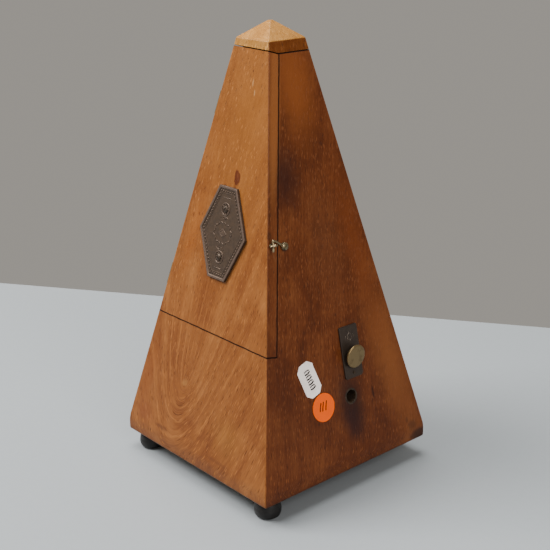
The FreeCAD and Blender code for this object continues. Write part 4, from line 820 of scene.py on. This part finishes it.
def make_plaque():
    bm = bmesh.new()
    add_outline(bm, [(0.0, 0.0), (0.0, PLAQUE_RIM - 0.32), (0.10, PLAQUE_RIM - 0.10), (0.34, PLAQUE_RIM),
                     (1.05, PLAQUE_RIM), (1.32, PLAQUE_RIM - 0.14), (1.48, PLAQUE_FIELD + 0.05),
                     (1.75, PLAQUE_FIELD), (3.35, PLAQUE_FIELD), (3.45, PLAQUE_FIELD + 0.16),
                     (3.62, PLAQUE_FIELD + 0.16), (3.74, PLAQUE_FIELD)])
    # A row of beads between the rim and an inner line
    corners = hexagon(2.5)
    for a, b in zip(corners, corners[1:] + corners[:1]):
        count = round((b - a).length / BEAD_PITCH)
        for i in range(count):
            spot = a.lerp(b, i / count)
            add_bead(bm, FRONT @ Matrix.Translation(spot + Vector((0, 0, PLAQUE_FIELD))), 0.46, 0.36)
    # A round collar of petals under each screw
    for side in (-1, 1):
        centre = Vector((0, PLAQUE_V + side * PLAQUE_SCREW, PLAQUE_FIELD))
        place = FRONT @ Matrix.Translation(centre)
        add_lathe(bm, [(3.35, -0.05), (3.3, 0.16), (3.1, 0.30), (2.85, 0.30), (2.65, 0.14), (2.6, -0.05)],
                  place, 40)
        for k in range(10):
            angle = 2 * math.pi * k / 10
            spot = place @ Matrix.Rotation(angle, 4, "Z") @ Matrix.Translation((2.2, 0, 0))
            add_bead(bm, spot @ Matrix.Diagonal((1.0, 0.75, 1.0, 1.0)), 0.42, 0.24)
    # A lozenge wreathed in leaves, and short scrolls above and below it
    middle = FRONT @ Matrix.Translation((0, PLAQUE_V, PLAQUE_FIELD))
    for k in range(18):
        angle = 2 * math.pi * k / 18
        spot = Vector((6.6 * math.cos(angle), 5.2 * math.sin(angle), 0))
        turn = angle + (0.6 if math.cos(angle) * (1 if k % 2 else -1) > 0 else -0.6) + math.pi / 2
        leaf = middle @ Matrix.Translation(spot) @ Matrix.Rotation(turn, 4, "Z")
        add_bead(bm, leaf @ Matrix.Diagonal((1.9, 0.75, 1.0, 1.0)), 0.55, 0.22, 10)
    lozenge = [(3.2, 0), (0, 2.4), (-3.2, 0), (0, -2.4)]
    rows = [[middle @ Vector((x * s, y * s, h)) for x, y in lozenge]
            for s, h in ((1.0, -0.05), (1.0, 0.10), (0.9, 0.22), (0.66, 0.22), (0.58, 0.10), (0.3, 0.26),
                         (0.05, 0.30))]
    add_rings(bm, rows)
    for side in (-1, 1):
        for turn in (-1, 1):
            curl = [Vector((turn * (0.3 + 2.6 * math.cos(t) * (1 - t / 7)),
                            side * (7.4 + 1.1 * math.sin(t) * (1 - t / 7)), 0.02))
                    for t in [i * 0.35 for i in range(13)]]
            add_tube(bm, [middle @ p for p in curl], 0.17 * MM, 6)
        rule = [middle @ Vector((x, side * 17.6, 0.02)) for x in (-2.6, 0, 2.6)]
        add_tube(bm, rule, 0.2 * MM, 6)
    return make("plaque_relief", bm, "door", bronze, ("plaque",), 40.0)


make_plaque()


def make_screw_domes():
    """Round-headed slotted screws that hold the plaque."""
    bm = bmesh.new()
    for side in (-1, 1):
        place = FRONT @ Matrix.Translation((0, PLAQUE_V + side * PLAQUE_SCREW, PLAQUE_FIELD))
        place = place @ Matrix.Rotation(math.radians(50 * side), 4, "Z")
        add_slotted_dome(bm, place, 1.78, 0.98, 0.42, 0.4)
    return make("plaque_screw_heads", bm, "door", screw_bronze, ("plaque_screws",))


def add_slotted_dome(bm, place, radius, height, slot_width, slot_depth, below=0.3, steps=40):
    """A domed screw head whose slot runs along the place's first axis."""
    rings = 9
    made = bmesh.new()
    rows = [circle(radius, steps, -below)]
    for k in range(rings):
        angle = math.pi / 2 * k / rings
        rows.append(circle(radius * math.cos(angle), steps, height * math.sin(angle)))
    add_rings(made, rows)
    bmesh.ops.recalc_face_normals(made, faces=made.faces)
    head = as_object(made, "head")
    cutter = bmesh.new()
    bmesh.ops.create_cube(cutter, size=1.0, matrix=Matrix.Translation((0, 0, height + 1.0 - slot_depth))
                          @ Matrix.Diagonal((radius * 3, slot_width, 2.0, 1.0)))
    blade = as_object(cutter, "blade")
    add_difference(bm, head, blade, place)


def add_difference(bm, solid, blade, place):
    """Adds one solid less another to a mesh, moved to a place, and removes both."""
    cut = solid.modifiers.new("cut", "BOOLEAN")
    cut.operation = "DIFFERENCE"
    cut.solver = "EXACT"
    cut.object = blade
    bpy.context.view_layer.update()
    result = evaluated(solid)
    result.transform(place)
    bm.from_mesh(result)
    bpy.data.objects.remove(solid)
    bpy.data.objects.remove(blade)


make_screw_domes()


# ---------------------------------------------------------------- hook and eye

LATCH_Y = -22.1
LATCH_V = 115.0
EYE_Y = LATCH_Y - 7.3


def make_latch():
    bm = bmesh.new()
    pivot = RIGHT @ Matrix.Translation((LATCH_Y, LATCH_V, 0))
    add_lathe(bm, [(0.97, 0.42), (1.25, 0.34), (1.7, 0.36), (1.88, 0.6), (1.9, 0.85), (1.82, 1.15),
                   (1.5, 1.36), (1.15, 1.36), (0.97, 1.28)], pivot, 32)
    bends = ((-1.5, 0.95, 0.9), (-3.4, 2.1, 1.3), (-5.6, 3.4, 1.95), (-7.35, 4.05, 2.2), (-7.45, 3.0, 2.2),
             (-7.8, 1.2, 2.3), (-8.4, -0.7, 2.6))
    wire = smooth_path([Vector((LATCH_Y + y, LATCH_V + v, h)) for y, v, h in bends], 6)
    add_tube(bm, [RIGHT @ p for p in wire], 0.6 * MM, 12)
    make("latch_hook_wire", bm, "latch", latch_brass, ("latch_hook",))
    bm = bmesh.new()
    add_lathe(bm, [(0.88, -3.4), (0.88, 1.7)], pivot, 24)
    add_slotted_dome(bm, pivot @ Matrix.Translation((0, 0, 1.72)) @ Matrix.Rotation(0.7, 4, "Z"), 1.88, 0.76,
                     0.4, 0.38, 0.12, 32)
    make("latch_screw_head", bm, "case", latch_brass, ("latch_screw",))
    bm = bmesh.new()
    centre = Vector((EYE_Y, LATCH_V + 1.7, 2.2))
    ring = [RIGHT @ (centre + Vector((1.6 * math.sin(t), 0, -1.5 * math.cos(t))))
            for t in [2 * math.pi * i / 36 for i in range(36)]]
    add_tube(bm, ring, 0.45 * MM, 12, True)
    add_tube(bm, [RIGHT @ Vector((EYE_Y, LATCH_V + 1.7, h)) for h in (-2.0, -0.6, 0.72)], 0.44 * MM, 12)
    collar = RIGHT @ Matrix.Translation((EYE_Y, LATCH_V + 1.7, 0))
    add_lathe(bm, [(0.95, 0.02), (0.98, 0.14), (0.8, 0.26), (0.5, 0.34)], collar, 24)
    make("latch_eye_ring", bm, "door", latch_brass, ("latch_eye",))


make_latch()


# ---------------------------------------------------------------- bell plate, knob and winding hole

PULL_Y = 10.85
PULL_Z = 67.9
KNOB_X = 50.8
KEY_Y = 7.2
KEY_Z = 47.3


def make_bell_plate():
    """A plate with softened edges, a hole for the pull, and a small engraved bell."""
    bm = bmesh.new()
    low_y, high_y, low_v, high_v, thick = 4.7, 17.0, 40.0, 67.1, 0.9
    clip = 1.0
    small = clip * 0.6
    outline = [(low_y + clip, low_v), (high_y - clip, low_v), (high_y, low_v + clip),
               (high_y, high_v - small), (high_y - small, high_v), (low_y + small, high_v),
               (low_y, high_v - small), (low_y, low_v + clip)]
    middle = Vector(((low_y + high_y) / 2, (low_v + high_v) / 2, 0))
    rows = []
    for inset, height in ((0.0, 0.0), (0.0, thick - 0.28), (0.09, thick - 0.09), (0.3, thick)):
        row = []
        for y, v in outline:
            p = Vector((y, v, 0))
            pull = Vector((math.copysign(inset, middle.x - y), math.copysign(inset, middle.y - v), 0))
            row.append(p + pull + Vector((0, 0, height)))
        rows.append(row)
    add_rings(bm, rows)
    bmesh.ops.recalc_face_normals(bm, faces=bm.faces)
    plate = as_object(bm, "plate")
    blade = bmesh.new()
    hole = RIGHT.inverted() @ on_side(0, PULL_Y, PULL_Z)
    add_lathe(blade, [(1.6, 30.0), (1.6, 60.0)], hole, 32)
    bmesh.ops.recalc_face_normals(blade, faces=blade.faces)
    cutter = as_object(blade, "cutter")
    bm = bmesh.new()
    add_difference(bm, plate, cutter, RIGHT)
    make("bell_plate_metal", bm, "case", plate_metal, ("bell_plate",), SOFT_DEGREES)
    bm = bmesh.new()
    at = Vector((PULL_Y + 0.2, 61.2, thick - 0.04))
    right_side = [(0.0, 2.1), (0.75, 1.85), (1.05, 1.1), (1.2, 0.0), (1.85, -0.9), (1.85, -1.2), (0.0, -1.2)]
    bell = [Vector((x, y, 0)) for x, y in right_side] + [Vector((-x, y, 0)) for x, y in right_side[-2:0:-1]]
    add_tube(bm, [RIGHT @ (at + p * 0.95) for p in bell], 0.1 * MM, 6, True)
    for mark in ([(-0.45, -1.5), (0.0, -1.85), (0.45, -1.5)], [(-0.25, 2.25), (0.0, 2.55), (0.25, 2.25)],
                 [(2.5, 0.9), (2.9, 0.1), (2.5, -0.7)], [(-2.5, 0.9), (-2.9, 0.1), (-2.5, -0.7)]):
        add_tube(bm, [RIGHT @ (at + Vector((x, y, 0))) for x, y in mark], 0.09 * MM, 6)
    make("bell_plate_mark", bm, "case", plate_mark)


def make_knob():
    bm = bmesh.new()
    add_lathe(bm, [(1.5, -1.8), (2.4, -1.75), (5.2, -1.55), (5.85, -1.3), (6.08, -0.95), (6.1, -0.6),
                   (5.98, -0.3), (5.7, -0.14), (5.0, -0.07), (3.0, -0.02), (1.0, 0.0)],
              on_side(KNOB_X, PULL_Y, PULL_Z), 72)
    make("pull_knob_disc", bm, "pull", knob_brass, ("pull_knob",), SOFT_DEGREES)


def make_bush():
    """The winding hole's bush, cut flush with the sloping side, with a thin bright lip."""
    bm = bmesh.new()
    inner, outer_r, hole_r = 44.6, 4.1, 3.1
    steps = 48
    loops = []
    for radius, back, proud in ((outer_r, True, 0.0), (outer_r, False, -0.02), (outer_r - 0.28, False, 0.12),
                                (hole_r + 0.22, False, 0.12), (hole_r, False, -0.1), (hole_r, True, 0.0)):
        loop = []
        for i in range(steps):
            angle = 2 * math.pi * i / steps
            y, z = KEY_Y + radius * math.cos(angle), KEY_Z + radius * math.sin(angle)
            x = inner if back else half_at(z) + proud
            loop.append(Vector((x, y, z)) * MM)
        loops.append(loop)
    loops.append(loops[0])
    add_rings(bm, loops, capped=False)
    weld(bm)
    make("winding_bush", bm, "case", bush_metal, ("key_bush",), SOFT_DEGREES)


make_bell_plate()
make_knob()
make_bush()


# ---------------------------------------------------------------- paper labels

def add_sheet(bm, outline, place, thick, curl):
    """A thin sheet with the given outline whose rim lifts slightly in places."""
    middle = sum(outline, Vector()) / len(outline)
    rows = []
    for share in (1.0, 0.86, 0.66, 0.4, 0.15):
        row = []
        for i, p in enumerate(outline):
            q = middle.lerp(p, share)
            lift = curl * max(share - 0.6, 0) ** 2 * (1 + math.sin(3.1 * i / len(outline) * math.pi + 1.0))
            row.append(place @ Vector((q.x, q.y, thick + lift)))
        rows.append(row)
    base = [place @ Vector((p.x, p.y, 0.0)) for p in outline]
    add_rings(bm, [base, *rows])


PAPER_THICK = 0.15
INK_HEIGHT = 0.17
TAG_PLACE = (-18.6, 47.2, 0)
TAG_TURN = math.radians(17)
ROUND_PLACE = (-12.1, 31.0, 0)
ROUND_RADIUS = 7.2


def make_labels():
    """A clipped tag and a round label, each with plain strokes in place of its writing."""
    tag_w, tag_l, clip = 5.3, 9.2, 2.6
    side, end = (tag_w, tag_l - clip), (tag_w - clip, tag_l)
    quarters = ((1, 1, side, end), (-1, 1, end, side), (-1, -1, side, end), (1, -1, end, side))
    corners = [Vector((a * x, b * y, 0)) for a, b, *pair in quarters for x, y in pair]
    tag = RIGHT @ Matrix.Translation(TAG_PLACE) @ Matrix.Rotation(TAG_TURN, 4, "Z")
    bm = bmesh.new()
    add_sheet(bm, divided(corners, 6), tag, PAPER_THICK, 1.2)
    make("tag_paper", bm, "case", white_paper, ("paper_label",), SOFT_DEGREES)
    bm = bmesh.new()
    for k in range(4):
        at = Vector((0.3, 4.2 - k * 2.8, INK_HEIGHT))
        stroke = [at + Vector((x, y, 0)) for x, y in ((-1.5, -0.75), (0.0, -0.95), (1.5, -0.55))]
        other = [at + Vector((x, y, 0)) for x, y in ((-1.5, 0.55), (0.0, 0.75), (1.4, 0.45))]
        add_tube(bm, [tag @ p for p in smooth_path(stroke, 4)], 0.38 * MM, 6)
        add_tube(bm, [tag @ p for p in smooth_path(other, 4)], 0.29 * MM, 6)
    make("tag_print", bm, "case", ink)
    disc = RIGHT @ Matrix.Translation(ROUND_PLACE)
    bm = bmesh.new()
    add_sheet(bm, circle(ROUND_RADIUS, 64), disc, PAPER_THICK, 0.5)
    make("round_paper", bm, "case", orange_paper, ("round_label",), SOFT_DEGREES)
    bm = bmesh.new()
    for x, tall in ((-2.2, 1.9), (-0.5, 2.1), (1.6, 2.2)):
        stroke = [Vector((x + dx, 0.6 + dy, INK_HEIGHT)) for dx, dy in ((-0.5, -tall), (0, 0), (0.7, tall))]
        add_tube(bm, [disc @ p for p in smooth_path(stroke, 4)], 0.27 * MM, 6)
    make("round_print", bm, "case", ink)


make_labels()


# ---------------------------------------------------------------- feet

FOOT_INSET = 8.8


def make_feet():
    bm = bmesh.new()
    x, y = BASE_HALF - FOOT_INSET, BASE_HALF * DEPTH_RATIO - FOOT_INSET
    profile = [(0.6, 0.0), (4.2, 0.0), (5.1, 0.25), (5.95, 0.9), (6.5, 1.8), (6.8, 3.0), (6.85, 4.2),
               (6.78, 5.0), (6.6, 5.3), (6.6, 5.55), (6.55, 6.2), (6.2, 7.5), (5.6, 8.7), (4.9, 9.5),
               (4.4, 9.98)]
    for foot_x, foot_y in ((-x, -y), (x, -y), (0, y)):
        place = Matrix.Translation(Vector((foot_x, foot_y, 0)) * MM) @ Matrix.Scale(MM, 4)
        add_lathe(bm, profile, place, 48)
    make("turned_feet", bm, "case", black_lacquer, ("feet",), 60.0)


make_feet()


# ---------------------------------------------------------------- tempo numbers on the scale, behind the door

def make_numbers():
    """Tempo numbers either side of the rod, printed on the scale plate."""
    low_v, high_v, low_half, high_half = 72.0, 176.0, 13.0, 7.5
    margin, number_size, depth = 6.0, 2.9, -6.98
    tempos = [208, 192, 176, 160, 144, 132, 120, 108, 96, 84, 72, 60, 50, 40]
    bm = bmesh.new()
    for k, tempo in enumerate(tempos):
        v = low_v + margin + k * (high_v - low_v - 2 * margin) / (len(tempos) - 1)
        half = low_half + (high_half - low_half) * (v - low_v) / (high_v - low_v)
        curve = bpy.data.curves.new("number", "FONT")
        curve.body = str(tempo)
        curve.size = number_size
        curve.align_x = "CENTER"
        curve.align_y = "CENTER"
        curve.extrude = 0.02
        text = bpy.data.objects.new("number", curve)
        bpy.context.scene.collection.objects.link(text)
        bpy.context.view_layer.update()
        mesh = evaluated(text)
        for side in (-1, 1):
            copy = mesh.copy()
            copy.transform(FRONT @ Matrix.Translation((side * (half - 5.8) * 0.82, v + 1.6, depth)))
            bm.from_mesh(copy)
        bpy.data.objects.remove(text)
    make("scale_numbers", bm, "case", ink)


make_numbers()


# ---------------------------------------------------------------- finishes on the pieces that stay

FINISHES = [
    (plain_wood, "bottom_board corner_blocks top_block"),
    (board_wood, "scale_board"),
    (enamel, "scale_plate"),
    (hinge_brass, "scale_pins lid_hinge_case_leaf lid_hinge_pin door_hinge_case_leaves door_hinge_pins "
                  "case_screws bell_nut door_hinge_leaves door_screws lid_hinge_leaf lid_screws"),
    (bush_metal, "bell_plate_pin"),
    (sheet_brass, "movement_base movement_plate_left movement_plate_right movement_pillars pendulum_cocks "
                  "great_wheel spring_barrel second_wheel escape_wheel"),
    (steel, "rod_clip plate_screws base_screws bell_post pendulum_rod pendulum_arbor bob_arm pallets "
            "winding_arbor ratchet_wheel click bell_hammer pull_rod"),
    (blued_steel, "mainspring"),
    (nickel, "bell"),
    (lead, "lower_bob"),
    (weight_brass, "sliding_weight"),
]
for material, names in FINISHES:
    for name in names.split():
        node = nodes[name]
        node.data.materials.clear()
        node.data.materials.append(material)

SMALL_BEVELS = {"sliding_weight": 0.35, "pendulum_rod": 0.12, "rod_clip": 0.1, "scale_plate": 0.08}
for name, width in SMALL_BEVELS.items():
    join = nodes[name].modifiers.new("weld", "WELD")
    join.merge_threshold = 1e-6
    bevel = nodes[name].modifiers.new("bevel", "BEVEL")
    bevel.width = width * MM
    bevel.segments = 2
    bevel.limit_method = "ANGLE"
    bevel.angle_limit = math.radians(40)
    bevel.harden_normals = True


# ---------------------------------------------------------------- table, lights and camera

bm = bmesh.new()
EDGE_A, EDGE_B = Vector((-0.3475, 0.0179, 0)), Vector((-0.0022, 0.2550, 0))
along = (EDGE_B - EDGE_A).normalized()
inward = Vector((along.y, -along.x, 0))
TABLE_SIDE, TABLE_REACH = along * 6, inward * 9
corner_points = [EDGE_A - TABLE_SIDE, EDGE_B + TABLE_SIDE, EDGE_B + TABLE_SIDE + TABLE_REACH,
                 EDGE_A - TABLE_SIDE + TABLE_REACH]
bm.faces.new([bm.verts.new(p) for p in corner_points])
table = as_object(bm, "table")
table.data.materials.append(floor_material())

world = bpy.data.worlds.new("studio")
bpy.context.scene.world = world
world.use_nodes = True
background = world.node_tree.nodes["Background"]
background.inputs["Color"].default_value = (0.335, 0.315, 0.285, 1.0)
background.inputs["Strength"].default_value = 1.0


def area_light(name, place, target, size, power, colour):
    light = bpy.data.lights.new(name, "AREA")
    light.shape = "RECTANGLE"
    light.size, light.size_y = size
    light.energy = power
    light.color = colour
    lamp = bpy.data.objects.new(name, light)
    lamp.location = place
    lamp.rotation_euler = (Vector(target) - Vector(place)).to_track_quat("-Z", "Y").to_euler()
    bpy.context.scene.collection.objects.link(lamp)


area_light("ceiling", (-0.25, 0.06, 1.50), (0, 0, 0), (0.8, 0.8), 27.0, (1.0, 0.98, 0.95))
area_light("window", (-0.62, -0.75, 1.20), (0, 0, 0.1), (0.8, 0.8), 48.0, (1.0, 0.97, 0.93))
area_light("fill", (1.25, -0.35, 0.85), (0, 0, 0.1), (0.9, 0.9), 15.0, (1.0, 0.95, 0.91))

SENSOR_WIDTH = 36.0
FOCAL_PIXELS = 1109.3
FRAME_PIXELS = 550
camera = bpy.data.objects.new("camera", bpy.data.cameras.new("camera"))
camera.data.sensor_width = SENSOR_WIDTH
camera.data.lens = SENSOR_WIDTH * FOCAL_PIXELS / FRAME_PIXELS
camera.data.clip_start = 0.01
camera.data.clip_end = 30.0
look_right = Vector((0.65868, 0.75235, -0.01049))
look_up = Vector((-0.24402, 0.22679, 0.94288))
look_back = look_right.cross(look_up)
camera.matrix_world = Matrix.Translation((0.41057, -0.35566, 0.29269)) \
    @ Matrix((look_right, look_up, look_back)).transposed().to_4x4()
bpy.context.scene.collection.objects.link(camera)
bpy.context.scene.camera = camera
